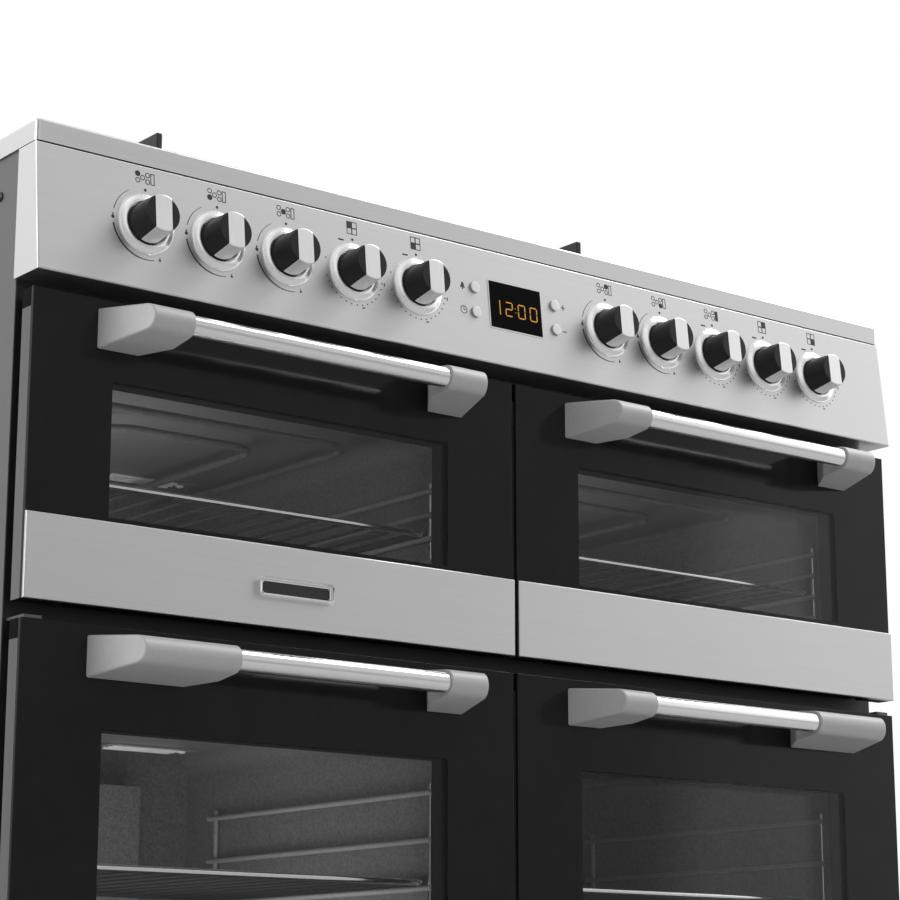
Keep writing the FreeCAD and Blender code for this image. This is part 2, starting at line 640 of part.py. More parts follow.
def make_fascia():
    """Leaning control panel: a folded steel box that is open at the rear."""
    y_top = y_hob_front
    y_low = y_hob_front - FASCIA_LEAN
    outline = [Vector(-half_width, y_top, z_fascia_top), Vector(-half_width, y_frame, z_fascia_top),
               Vector(-half_width, y_frame, z_fascia_bottom), Vector(-half_width, y_low, z_fascia_bottom)]
    panel = prism(outline, ACROSS * WIDTH)
    front_edges = [edge for edge in panel.Edges if edge.BoundBox.YMax < y_frame - OVERCUT]
    panel = panel.makeFillet(STOUT_SHEET, front_edges)
    slant = STOUT_SHEET / math.cos(math.radians(lean_angle))
    slope = FASCIA_LEAN / FASCIA_HEIGHT * STOUT_SHEET
    z_in_top = z_fascia_top - STOUT_SHEET
    z_in_low = z_fascia_bottom + STOUT_SHEET
    x_in = -half_width + STOUT_SHEET
    y_open = y_frame + OVERCUT
    hollow = prism([Vector(x_in, y_top + slant - slope, z_in_top), Vector(x_in, y_open, z_in_top),
                    Vector(x_in, y_open, z_in_low), Vector(x_in, y_low + slant + slope, z_in_low)],
                   ACROSS * (WIDTH - 2 * STOUT_SHEET))
    cuts = [hollow]
    for x in knob_places():
        low = Vector(x, KNOB_RISE, -PANEL_CUT)
        cuts.append(on_fascia(rod(SPINDLE_HOLE, low, Vector(x, KNOB_RISE, PANEL_CUT))))
    half_x = CLOCK_WIDTH / 2 + SEAT_GAP
    half_y = CLOCK_HEIGHT / 2 + SEAT_GAP
    cuts.append(on_fascia(block(-half_x, half_x, KNOB_RISE - half_y, KNOB_RISE + half_y,
                                -PANEL_CUT, PANEL_CUT)))
    for name, x, rise in buttons():
        low = Vector(x, rise, -PANEL_CUT)
        cuts.append(on_fascia(rod(BUTTON_RADIUS + RUNNING_FIT, low, Vector(x, rise, PANEL_CUT))))
    for cut in cuts:
        panel = panel.cut(cut)
    save("control_fascia", [panel])


def buttons():
    """Clock buttons: name, place across and place up the panel."""
    high = KNOB_RISE + BUTTON_SPACING / 2
    low = KNOB_RISE - BUTTON_SPACING / 2
    return (("button_timer", -BUTTON_ACROSS, high), ("button_clock", -BUTTON_ACROSS, low),
            ("button_plus", BUTTON_ACROSS, high), ("button_minus", BUTTON_ACROSS, low))


def make_clock():
    """Clock lens with its housing behind the panel, and four push buttons."""
    half_x = CLOCK_WIDTH / 2
    half_y = CLOCK_HEIGHT / 2
    lens = block(-half_x, half_x, KNOB_RISE - half_y, KNOB_RISE + half_y, -CLOCK_LENS, CLOCK_PROUD)
    box_x = CLOCK_BOX_WIDTH / 2
    box_y = CLOCK_BOX_HEIGHT / 2
    housing = block(-box_x, box_x, KNOB_RISE - box_y, KNOB_RISE + box_y,
                    -CLOCK_LENS - CLOCK_BOX_DEPTH, -CLOCK_LENS)
    save("clock_module", [on_fascia(lens), on_fascia(housing)])
    for name, x, rise in buttons():
        root = Vector(x, rise, -STOUT_SHEET - BUTTON_FLANGE_DEPTH / 2)
        cap = rod(BUTTON_RADIUS, root, Vector(x, rise, BUTTON_PROUD))
        rim = [edge for edge in cap.Edges if edge.BoundBox.ZMin > BUTTON_PROUD - BUTTON_EDGE]
        cap = cap.makeFillet(BUTTON_EDGE, rim)
        flange = rod(BUTTON_RADIUS + BUTTON_FLANGE, Vector(x, rise, -STOUT_SHEET - BUTTON_FLANGE_DEPTH),
                     Vector(x, rise, -STOUT_SHEET))
        save(name, [on_fascia(fuse_all([cap, flange]))])


def knob_solid(extra):
    """Knob outline of revolution, grown by a skin for the grip strip."""
    outline = [Vector(0, 0, KNOB_LIFT), Vector(KNOB_BASE_RADIUS, 0, KNOB_LIFT),
               Vector(KNOB_BASE_RADIUS, 0, KNOB_BASE_HEIGHT),
               Vector(KNOB_SIDE_RADIUS + extra, 0, KNOB_BASE_HEIGHT),
               Vector(KNOB_FACE_RADIUS + extra, 0, KNOB_HEIGHT - GRIP_SKIN + extra),
               Vector(0, 0, KNOB_HEIGHT - GRIP_SKIN + extra)]
    face = Part.Face(Part.makePolygon(outline + [outline[0]]))
    turned = face.revolve(Vector(0, 0, 0), UP, 360)
    circles = [edge for edge in turned.Edges if isinstance(edge.Curve, Part.Circle)]
    rim = [edge for edge in circles if edge.BoundBox.ZMin > KNOB_BASE_HEIGHT + KNOB_EDGE]
    return turned.makeFillet(KNOB_EDGE + extra, rim)


def make_knobs():
    """Ten knobs on their spindles, the rings round them, and the taps and switches behind."""
    bore = rod(SPINDLE_RADIUS + PUSH_FIT, Vector(0, 0, 0), UP * (SPINDLE_IN_KNOB + PUSH_FIT))
    half_grip = GRIP_WIDTH / 2
    rim = KNOB_BASE_RADIUS
    body = knob_solid(0).cut(bore)
    across = block(-half_grip, half_grip, -rim, rim, KNOB_BASE_HEIGHT, KNOB_HEIGHT)
    grip = knob_solid(GRIP_SKIN).common(across).cut(knob_solid(0))
    spindle = rod(SPINDLE_RADIUS, UP * -(STOUT_SHEET + SPINDLE_IN_TAP), UP * SPINDLE_IN_KNOB)

    ring_in = KNOB_BASE_RADIUS + KNOB_TO_BEZEL
    ring_line = [Vector(ring_in, 0, 0), Vector(BEZEL_RADIUS, 0, 0), Vector(BEZEL_RADIUS, 0, BEZEL_LIP),
                 Vector(ring_in + BEZEL_TOP, 0, BEZEL_HEIGHT), Vector(ring_in, 0, BEZEL_HEIGHT)]
    ring = Part.Face(Part.makePolygon(ring_line + [ring_line[0]])).revolve(Vector(0, 0, 0), UP, 360)

    bezels = []
    taps = []
    switches = []
    for name, x in zip(KNOB_NAMES, knob_places()):
        spot = Vector(x, KNOB_RISE, 0)
        pieces = []
        for piece in (body, grip, spindle):
            moved = piece.copy()
            moved.translate(spot)
            pieces.append(on_fascia(moved))
        save(name, pieces)
        moved = ring.copy()
        moved.translate(spot)
        bezels.append(on_fascia(moved))
        if name.endswith("burner"):
            taps.append(control_body(spot, TAP_WIDTH, TAP_HEIGHT, TAP_DEPTH))
        else:
            switches.append(control_body(spot, SWITCH_SIZE, SWITCH_SIZE, TAP_DEPTH - SWITCH_TO_RAIL))
    save("knob_bezels", bezels)
    save("gas_taps", taps)
    save("oven_controls", switches)


def control_body(spot, across, tall, deep):
    """Tap or switch body against the rear of the panel, bored for its spindle."""
    low = -STOUT_SHEET - deep
    body = block(spot.x - across / 2, spot.x + across / 2, spot.y - tall / 2, spot.y + tall / 2,
                 low, -STOUT_SHEET)
    bore_end = -STOUT_SHEET - SPINDLE_IN_TAP - RUNNING_FIT
    bore = rod(SPINDLE_RADIUS + RUNNING_FIT, Vector(spot.x, spot.y, bore_end), spot)
    return on_fascia(body.cut(bore))


def make_gas_rail():
    """Gas rail behind the taps, with the pipe and threaded inlet at the rear."""
    places = [x for name, x in zip(KNOB_NAMES, knob_places()) if name.endswith("burner")]
    top = -STOUT_SHEET - TAP_DEPTH
    half = RAIL_SIZE / 2
    rail = on_fascia(block(places[0] - RAIL_OVERHANG, places[-1] + RAIL_OVERHANG, KNOB_RISE - half,
                           KNOB_RISE + half, top - RAIL_SIZE, top))
    start = pipe_start()
    at_panel = Vector(start.x, y_panel + PIPE_HOLE_GAP, start.z)
    pipe = rod(PIPE_RADIUS, start, at_panel)
    inlet = rod(INLET_RADIUS, at_panel, at_panel + BACK * INLET_LENGTH)
    save("gas_rail", [fuse_all([rail, pipe, inlet])])


def make_hob():
    """Pressed hob with its sunk pan, burners, hot zone and pan supports."""
    outer = block(-half_width, half_width, y_hob_front, y_rear, z_hob_under, HOB_HEIGHT)
    corners = [edge for edge in outer.Edges if runs_along(edge, UP)]
    outer = outer.makeFillet(HOB_CORNER, corners)
    rim = [edge for edge in outer.Edges if edge.BoundBox.ZMin > HOB_HEIGHT - OVERCUT]
    outer = outer.makeFillet(HOB_EDGE, rim)
    skirt = STOUT_SHEET
    hollow = block(-half_width + skirt, half_width - skirt, y_hob_front + skirt, y_rear - skirt,
                   z_hob_under, HOB_HEIGHT - skirt)
    hollow_corners = [edge for edge in hollow.Edges if runs_along(edge, UP)]
    hollow = hollow.makeFillet(HOB_CORNER - skirt, hollow_corners)
    shell = outer.cut(hollow)
    pan_x = half_width - HOB_RIM
    pan_front = y_hob_front + HOB_RIM
    pan_rear = y_rear - HOB_RIM
    pan = block(-pan_x, pan_x, pan_front, pan_rear, z_pan - skirt, HOB_HEIGHT)
    sunk = block(-pan_x + skirt, pan_x - skirt, pan_front + skirt, pan_rear - skirt,
                 z_pan, HOB_HEIGHT + OVERCUT)
    hob = fuse_all([shell, pan]).cut(sunk)
    holes = []
    for x, y, radius in burners():
        cup = radius - BURNER_CUP_STEP + SEAT_GAP
        holes.append(rod(cup, Vector(x, y, z_pan - skirt - OVERCUT), Vector(x, y, z_pan + OVERCUT)))
    lip_x = HOT_ZONE_WIDTH / 2 - HOT_ZONE_LIP
    lip_y = HOT_ZONE_LENGTH / 2 - HOT_ZONE_LIP
    holes.append(block(HOT_ZONE_X - lip_x, HOT_ZONE_X + lip_x, grate_middle() - lip_y, grate_middle() + lip_y,
                       z_pan - skirt - OVERCUT, z_pan + OVERCUT))
    vent_y = y_rear - VENT_FROM_REAR
    for place in range(VENT_COUNT):
        x = VENT_PITCH * (place - (VENT_COUNT - 1) / 2)
        holes.append(block(x - VENT_LENGTH / 2, x + VENT_LENGTH / 2, vent_y - VENT_WIDTH / 2,
                           vent_y + VENT_WIDTH / 2, z_pan - skirt - OVERCUT, z_pan + OVERCUT))
    save("hob_tray", [hob.cut(Part.makeCompound(holes))])

    glass_x = HOT_ZONE_WIDTH / 2
    glass_y = HOT_ZONE_LENGTH / 2
    save("hot_zone_glass", [block(HOT_ZONE_X - glass_x, HOT_ZONE_X + glass_x, grate_middle() - glass_y,
                                  grate_middle() + glass_y, z_pan, z_pan + HOT_ZONE_GLASS)])
    bodies = []
    caps = []
    for x, y, radius in burners():
        foot = Vector(x, y, z_pan)
        crown = foot + UP * BURNER_FLANGE
        crown_top = crown + UP * BURNER_CROWN
        cup = rod(radius - BURNER_CUP_STEP, foot - UP * BURNER_CUP_DEPTH, foot)
        pieces = [cup, rod(radius, foot, crown), rod(radius - CROWN_STEP, crown, crown_top)]
        bodies.append(fuse_all(pieces))
        cap = rod(radius - CAP_STEP, crown_top, crown_top + UP * BURNER_CAP)
        cap_rim = [edge for edge in cap.Edges if edge.BoundBox.ZMin > crown_top.z + BURNER_CAP / 2]
        caps.append(cap.makeFillet(BURNER_CAP / 2, cap_rim))
    save("burner_bodies", bodies)
    save("burner_caps", caps)
    save("pan_supports", pan_supports())


def grate_middle():
    """Middle of the pan supports, front to rear."""
    return y_glass + GRATE_FROM_FRONT + GRATE_LENGTH / 2


def burners():
    """Place and flange radius of the gas burners: two left, one in the middle, two right."""
    front = grate_middle() - BURNER_SPACING / 2
    rear = grate_middle() + BURNER_SPACING / 2
    return ((LEFT_BURNERS_X, rear, MEDIUM_RADIUS), (LEFT_BURNERS_X, front, RAPID_RADIUS),
            (CENTRE_BURNER_X, grate_middle(), WOK_RADIUS),
            (RIGHT_BURNERS_X, rear, MEDIUM_RADIUS), (RIGHT_BURNERS_X, front, SMALL_RADIUS))


def pan_supports():
    """Cast iron pan supports: a frame on legs, with fingers towards each burner."""
    grates = []
    middle = grate_middle()
    for x in (LEFT_BURNERS_X, CENTRE_BURNER_X, RIGHT_BURNERS_X):
        x0 = x - GRATE_WIDTH / 2
        x1 = x + GRATE_WIDTH / 2
        y0 = middle - GRATE_LENGTH / 2
        y1 = middle + GRATE_LENGTH / 2
        z0 = z_pan + GRATE_LEG
        z1 = z0 + GRATE_BAR_HEIGHT
        bar = GRATE_BAR
        pieces = [block(x0, x1, y0, y0 + bar, z0, z1), block(x0, x1, y1 - bar, y1, z0, z1),
                  block(x0, x0 + bar, y0, y1, z0, z1), block(x1 - bar, x1, y0, y1, z0, z1)]
        for leg_x in (x0, x1 - bar):
            for leg_y in (y0, y1 - bar):
                pieces.append(block(leg_x, leg_x + bar, leg_y, leg_y + bar, z_pan, z1))
        rings = [(y, radius) for burner_x, y, radius in burners() if burner_x == x]
        z_tip = z0 + FINGER_RISE
        half = FINGER_WIDTH / 2
        if len(rings) > 1:
            pieces.append(block(x0, x1, middle - bar / 2, middle + bar / 2, z0, z1))
        for y, radius in rings:
            stop = radius + FINGER_CLEARANCE
            pieces.append(block(x0, x - stop, y - half, y + half, z0, z_tip))
            pieces.append(block(x + stop, x1, y - half, y + half, z0, z_tip))
            y_low = middle if y > middle else y0
            y_high = middle if y < middle else y1
            for z, near, far in ((z1, y_low, y_high), (z_tip, y - stop - FINGER_RUN, y + stop + FINGER_RUN)):
                pieces.append(block(x - half, x + half, max(near, y_low), y - stop, z0, z))
                pieces.append(block(x - half, x + half, y + stop, min(far, y_high), z0, z))
        grates.append(fuse_all(pieces))
    return grates


def make_door(name, x0, x1, z0, z1, window_drop, hinge):
    """One oven door: outer glass, metal frame, inner pane, steel trim and handle."""
    y_front_slab = y_glass + GLASS
    y_step = y_front_slab + DOOR_EDGE
    y_back = y_step + DOOR_BACK
    save("door_glass_" + name, [block(x0, x1, y_glass, y_front_slab, z0, z1)])

    window_x0 = x0 + WINDOW_MARGIN
    window_x1 = x1 - WINDOW_MARGIN
    window_z0 = z0 + TRIM_HEIGHT - WINDOW_UNDER_TRIM
    window_z1 = z1 - window_drop
    slab = block(x0, x1, y_front_slab, y_step, z0, z1)
    rear = block(x0 + DOOR_STEP, x1 - DOOR_STEP, y_step, y_back, z0 + DOOR_STEP, z1 - DOOR_STEP)
    frame = slab.fuse(rear).removeSplitter()
    window = block(window_x0, window_x1, y_glass, y_back + OVERCUT, window_z0, window_z1)
    lap = INNER_PANE_LAP
    seat = block(window_x0 - lap, window_x1 + lap, y_back - GLASS, y_back + OVERCUT,
                 window_z0 - lap, window_z1 + lap)
    frame = frame.cut(window).cut(seat)
    gap = SEAT_GAP
    pane = block(window_x0 - lap + gap, window_x1 + lap - gap, y_back - GLASS, y_back,
                 window_z0 - lap + gap, window_z1 + lap - gap)
    save("door_inner_glass_" + name, [pane])
    for cut in hinge_room(x0, x1, z0, z1, hinge):
        frame = frame.cut(cut)
    save("door_frame_" + name, [frame])

    trim = block(x0, x1, y_glass - TRIM_PROUD, y_glass, z0, z0 + TRIM_HEIGHT)
    front_edges = [edge for edge in trim.Edges if edge.BoundBox.YMax < y_glass - TRIM_PROUD / 2]
    save("door_trim_" + name, [trim.makeFillet(TRIM_EDGE, front_edges)])

    left_foot = HANDLE_LONG_FOOT if hinge == "left" else HANDLE_FOOT
    right_foot = HANDLE_LONG_FOOT if hinge == "right" else HANDLE_FOOT
    z_top = z1 - HANDLE_DROP
    left = handle_end(x0 + HANDLE_MARGIN, 1, left_foot, z_top)
    right = handle_end(x1 - HANDLE_MARGIN, -1, right_foot, z_top)
    y_bar = y_glass - HANDLE_REACH + HANDLE_NOSE
    z_bar = z_top - HANDLE_BAR_DROP
    bar = rod(BAR_RADIUS, Vector(x0 + HANDLE_MARGIN + left_foot + HANDLE_LEAN, y_bar, z_bar),
              Vector(x1 - HANDLE_MARGIN - right_foot - HANDLE_LEAN, y_bar, z_bar))
    save("door_handle_" + name, [left, bar, right])


def hinge_room(x0, x1, z0, z1, hinge):
    """Bores and notches that a door frame needs for its hinges."""
    bore = HINGE_PIN_RADIUS + RUNNING_FIT
    cuts = []
    if hinge == "bottom":
        z_axis = z0 + HINGE_INSET
        room = LUG_RADIUS + LUG_ROOM
        side = -1 if x0 < 0 else 1
        for x in lug_places(side):
            half = LUG_THICKNESS / 2 + LUG_ROOM
            cuts.append(block(x - half, x + half, y_hinge - LUG_RADIUS - LUG_FRONT_ROOM, y_frame,
                              z0 - LUG_ROOM, z_axis + room))
            end = LUG_PIN_LENGTH / 2 + LUG_ROOM
            cuts.append(rod(bore, Vector(x - end, y_hinge, z_axis), Vector(x + end, y_hinge, z_axis)))
        return cuts
    x_axis = x0 + HINGE_INSET if hinge == "left" else x1 - HINGE_INSET
    depth = HINGE_PIN_DEPTH + LUG_ROOM
    cuts.append(rod(bore, Vector(x_axis, y_hinge, z0), Vector(x_axis, y_hinge, z0 + depth)))
    cuts.append(rod(bore, Vector(x_axis, y_hinge, z1 - depth), Vector(x_axis, y_hinge, z1)))
    return cuts


def tangent_point(outside, middle, radius, side):
    """Point where a line from a point outside meets an upright circle across the cooker, above or below it."""
    to_point = outside - middle
    turn = math.atan2(to_point.z, to_point.y) + side * math.acos(radius / to_point.Length)
    return middle + Vector(0, radius * math.cos(turn), radius * math.sin(turn))


def handle_end(x_foot, way, foot, z_top):
    """Handle end: a leaning block, flat against the glass, that tapers to a rounded nose round the bar."""
    z_low = z_top - HANDLE_END_HEIGHT
    y_nose = y_glass - HANDLE_REACH
    y_shoulder = y_nose + HANDLE_SHOULDER + BAR_RADIUS
    lean = way * HANDLE_LEAN
    length = way * foot
    plan = [Vector(x_foot, y_glass, z_low), Vector(x_foot + length, y_glass, z_low),
            Vector(x_foot + length + lean, y_shoulder, z_low), Vector(x_foot + length + lean, y_nose, z_low),
            Vector(x_foot + lean, y_nose, z_low)]
    body = prism(plan, UP * HANDLE_END_HEIGHT)
    reach = abs(length) + abs(lean)
    x_low = min(x_foot, x_foot + length + lean)
    middle = Vector(x_low, y_nose + HANDLE_NOSE, z_top - HANDLE_BAR_DROP)
    top = Vector(x_low, y_glass, z_top)
    foot_low = Vector(x_low, y_glass, z_low)
    upper = tangent_point(top, middle, HANDLE_NOSE, 1)
    lower = tangent_point(foot_low, middle, HANDLE_NOSE, -1)
    front = Vector(x_low, y_nose, middle.z)
    outline = Part.Wire([Part.makeLine(top, upper), Part.Arc(upper, front, lower).toShape(),
                         Part.makeLine(lower, foot_low), Part.makeLine(foot_low, top)])
    profile = Part.Face(outline).extrude(ACROSS * reach)
    shaped = body.common(profile).removeSplitter()
    outer = [edge for edge in shaped.Edges if is_outer_edge(edge, x_foot, lean)]
    return shaped.makeFillet(HANDLE_EDGE, outer)


def is_outer_edge(edge, x_foot, lean):
    """True for the edges round the slanting outer face of a handle end, apart from its foot."""
    middle = edge.BoundBox.Center
    on_foot = abs(edge.BoundBox.YMin - y_glass) < SEAT_GAP
    within = min(x_foot, x_foot + lean) - SEAT_GAP < middle.x < max(x_foot, x_foot + lean) + SEAT_GAP
    narrow = edge.BoundBox.XLength < abs(lean) + SEAT_GAP
    return within and narrow and not on_foot


def make_doors():
    """Two drop-down upper doors and two side-hung lower doors."""
    for side, sign in (("left", -1), ("right", 1)):
        x_a = sign * CENTRE_GAP / 2
        x_b = sign * x_side
        x0 = min(x_a, x_b)
        x1 = max(x_a, x_b)
        make_door("upper_" + side, x0, x1, z_upper_bottom, z_upper_top, UPPER_WINDOW_DROP, "bottom")
        make_door("lower_" + side, x0, x1, z_lower_bottom, z_lower_top, LOWER_WINDOW_DROP, side)


os.makedirs("parts", exist_ok=True)
make_casing()
make_front_frame()
make_ovens()
make_fascia()
make_clock()
make_knobs()
make_gas_rail()
make_hob()
make_doors()
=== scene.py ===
import json
import math
import bpy
from mathutils import Matrix, Vector

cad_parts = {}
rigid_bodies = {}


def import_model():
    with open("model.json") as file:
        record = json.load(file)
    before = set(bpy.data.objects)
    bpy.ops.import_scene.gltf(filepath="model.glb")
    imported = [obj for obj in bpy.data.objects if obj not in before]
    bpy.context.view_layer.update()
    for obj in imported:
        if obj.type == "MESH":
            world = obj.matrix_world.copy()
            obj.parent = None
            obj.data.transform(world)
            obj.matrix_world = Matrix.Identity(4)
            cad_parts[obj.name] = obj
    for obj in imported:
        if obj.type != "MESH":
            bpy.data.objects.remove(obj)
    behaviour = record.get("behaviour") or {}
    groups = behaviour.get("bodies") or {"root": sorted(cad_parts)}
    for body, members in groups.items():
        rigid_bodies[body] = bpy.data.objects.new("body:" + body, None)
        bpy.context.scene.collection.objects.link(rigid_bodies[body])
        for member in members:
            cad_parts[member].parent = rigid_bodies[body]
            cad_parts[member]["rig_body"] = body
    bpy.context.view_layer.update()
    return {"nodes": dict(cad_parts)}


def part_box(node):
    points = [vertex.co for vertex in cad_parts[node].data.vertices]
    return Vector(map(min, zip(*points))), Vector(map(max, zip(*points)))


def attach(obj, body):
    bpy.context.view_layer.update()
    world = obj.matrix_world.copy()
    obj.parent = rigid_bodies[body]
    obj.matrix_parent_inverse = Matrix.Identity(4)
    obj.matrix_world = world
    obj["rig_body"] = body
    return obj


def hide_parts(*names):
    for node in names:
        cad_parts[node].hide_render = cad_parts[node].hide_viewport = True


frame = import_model()
nodes = frame["nodes"]

# Side panels: folded steel sheets that close the cooker left and right.
# They are painted satin dark grey and held by screws along their front and rear edges.
MM = 0.001
GRAIN_DARK = 0.3
GRAIN_LIGHT = 0.7
GRAIN_DEEP = 0.2 * MM
SAME_POINT = 0.005 * MM
FLAT_TURN = 0.5
SHEET_EDGE = 0.4 * MM


def finish(name, colour, metal=0.0, rough=0.5, grain=300, tone=0.06, polish=0.06, height=0.0, detail=3.0,
           ior=1.5):
    """Surface whose colour, gloss and height all follow one fine grain, in spots per metre."""
    material = bpy.data.materials.new(name)
    material.use_nodes = True
    tree = material.node_tree
    shader = tree.nodes["Principled BSDF"]
    shader.inputs["Metallic"].default_value = metal
    shader.inputs["IOR"].default_value = ior
    where = tree.nodes.new("ShaderNodeTexCoord")
    stretch = tree.nodes.new("ShaderNodeMapping")
    stretch.inputs["Scale"].default_value = grain if isinstance(grain, tuple) else (grain, grain, grain)
    noise = tree.nodes.new("ShaderNodeTexNoise")
    noise.inputs["Scale"].default_value = 1.0
    noise.inputs["Detail"].default_value = detail
    tree.links.new(where.outputs["Object"], stretch.inputs["Vector"])
    tree.links.new(stretch.outputs["Vector"], noise.inputs["Vector"])
    tones = tree.nodes.new("ShaderNodeValToRGB")
    low, high = tones.color_ramp.elements
    low.position = GRAIN_DARK
    high.position = GRAIN_LIGHT
    low.color = [c * (1 - tone) for c in colour] + [1.0]
    high.color = [min(1.0, c * (1 + tone)) for c in colour] + [1.0]
    tree.links.new(noise.outputs["Fac"], tones.inputs["Fac"])
    tree.links.new(tones.outputs["Color"], shader.inputs["Base Color"])
    gloss = tree.nodes.new("ShaderNodeMapRange")
    gloss.inputs["To Min"].default_value = max(0.0, rough - polish)
    gloss.inputs["To Max"].default_value = min(1.0, rough + polish)
    tree.links.new(noise.outputs["Fac"], gloss.inputs["Value"])
    tree.links.new(gloss.outputs["Result"], shader.inputs["Roughness"])
    if height:
        bump = tree.nodes.new("ShaderNodeBump")
        bump.inputs["Strength"].default_value = height
        bump.inputs["Distance"].default_value = GRAIN_DEEP
        tree.links.new(noise.outputs["Fac"], bump.inputs["Height"])
        tree.links.new(bump.outputs["Normal"], shader.inputs["Normal"])
    return material


def dress(piece, *finishes):
    """Gives a piece its finishes, one per material slot, and leaves its faces on their slots."""
    slots = piece.data.materials
    for index, surface in enumerate(finishes):
        if index < len(slots):
            slots[index] = surface
        else:
            slots.append(surface)


def only(piece):
    """Selects one piece and nothing else."""
    bpy.ops.object.select_all(action="DESELECT")
    piece.select_set(True)
    bpy.context.view_layer.objects.active = piece


def edit(piece, select="SELECT"):
    """Opens one piece in edit mode with all or nothing selected."""
    only(piece)
    bpy.ops.object.mode_set(mode="EDIT")
    bpy.ops.mesh.select_all(action=select)


def done():
    """Closes edit mode."""
    bpy.ops.object.mode_set(mode="OBJECT")


def smooth(piece, angle=32):
    """Shades curved faces smoothly, keeps real corners sharp and large faces flat."""
    only(piece)
    bpy.ops.object.shade_smooth_by_angle(angle=math.radians(angle))
    flat = piece.modifiers.new("flat faces", "WEIGHTED_NORMAL")
    flat.keep_sharp = True
    bpy.ops.object.modifier_apply(modifier=flat.name)


def soften(piece, width, segments=2, angle=40):
    """Breaks every real corner with a small round."""
    only(piece)
    rounding = piece.modifiers.new("edges", "BEVEL")
    rounding.width = width
    rounding.segments = segments
    rounding.limit_method = "ANGLE"
    rounding.angle_limit = math.radians(angle)
    rounding.use_clamp_overlap = True
    bpy.ops.object.modifier_apply(modifier=rounding.name)


def eased(node, name, surface, edge=0.0, segments=2):
    """Shows a solid with its faces merged, its corners broken and its curves smooth."""
    piece = bpy.data.objects.new(name, nodes[node].data.copy())
    bpy.context.scene.collection.objects.link(piece)
    edit(piece)
    bpy.ops.mesh.customdata_custom_splitnormals_clear()
    bpy.ops.mesh.remove_doubles(threshold=SAME_POINT)
    bpy.ops.mesh.dissolve_limited(angle_limit=math.radians(FLAT_TURN))
    done()
    if edge:
        soften(piece, edge, segments)
    smooth(piece)
    dress(piece, surface)
    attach(piece, nodes[node]["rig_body"])
    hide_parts(node)
    return piece


side_paint = finish("side paint", (0.125, 0.126, 0.128), rough=0.42, grain=700, tone=0.05, height=0.25)
eased("side_panels", "side_panel_sheets", side_paint, edge=SHEET_EDGE)

# Side screws: pan heads with a round drive recess, three along each edge of a side panel.
# They are steel, blackened. The profile is (radius, height) in millimetres, from foot to top.
SCREW_PROFILE = [(4.2, -0.2), (4.2, 0.6), (3.906, 1.2), (2.94, 1.7), (1.68, 2.0)]
SCREW_TOP = 2.0 * MM
RECESS_RIM = 0.504 * MM
RECESS_DEEP = 0.9 * MM
LEVEL_SLACK = 0.01 * MM
SCREW_Y = (-0.207, 0.300)
SCREW_Z = (0.130, 0.458, 0.848)
screw_black = finish("blackened screws", (0.03, 0.03, 0.032), metal=0.6, rough=0.4, grain=900)


def own(piece, body, slot, *finishes):
    """Gives a new piece its finishes and its body; its slot is not used."""
    dress(piece, *finishes)
    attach(piece, body)
    return piece


def shaped(name):
    """The object that an operator has just added, under its own name and with its place in its mesh."""
    piece = bpy.context.view_layer.objects.active
    piece.name = name
    bpy.ops.object.transform_apply(location=True, rotation=True, scale=True)
    return piece


def copy_of(master, name, place):
    """Copy with its own mesh, put in place in the mesh itself."""
    piece = bpy.data.objects.new(name, master.data.copy())
    bpy.context.scene.collection.objects.link(piece)
    piece.data.transform(place)
    return piece


def pick(piece, wanted):
    """Opens a piece in edit mode with only the faces that pass a test selected."""
    edit(piece, "DESELECT")
    done()
    for face in piece.data.polygons:
        face.select = wanted(face)
    only(piece)
    bpy.ops.object.mode_set(mode="EDIT")


def turned(name, profile, sides=64):
    """Piece turned about +Z from (radius, height) points in millimetres, closed at both ends."""
    bpy.ops.object.select_all(action="DESELECT")
    radius, height = (size * MM for size in profile[0])
    start = (0, 0, height)
    bpy.ops.mesh.primitive_circle_add(vertices=sides, radius=radius, fill_type="NGON", location=start)
    piece = shaped(name)
    edit(piece)
    for point in profile[1:]:
        next_radius, next_height = (size * MM for size in point)
        rise = {"value": (0, 0, next_height - height)}
        bpy.ops.mesh.extrude_region_move(TRANSFORM_OT_translate=rise)
        grow = next_radius / radius
        bpy.ops.transform.resize(value=(grow, grow, 1), center_override=(0, 0, next_height))
        radius = next_radius
        height = next_height
    bpy.ops.mesh.select_all(action="SELECT")
    bpy.ops.mesh.normals_make_consistent(inside=False)
    done()
    smooth(piece)
    return piece


screw = turned("screw_master", SCREW_PROFILE, sides=28)
pick(screw, lambda face: face.center.z > SCREW_TOP - LEVEL_SLACK)
bpy.ops.mesh.inset(thickness=RECESS_RIM)
bpy.ops.mesh.extrude_region_move(TRANSFORM_OT_translate={"value": (0, 0, -RECESS_DEEP)})
done()
smooth(screw)
side_low, side_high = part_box("side_panels")
for side, x, lean_out in (("left", side_low.x, -90), ("right", side_high.x, 90)):
    turn = Matrix.Rotation(math.radians(lean_out), 4, "Y")
    for row, y in enumerate(SCREW_Y):
        for step, z in enumerate(SCREW_Z):
            piece = copy_of(screw, f"side_screw_{side}_{row}_{step}", Matrix.Translation((x, y, z)) @ turn)
            own(piece, "cooker", "side_paint", screw_black)

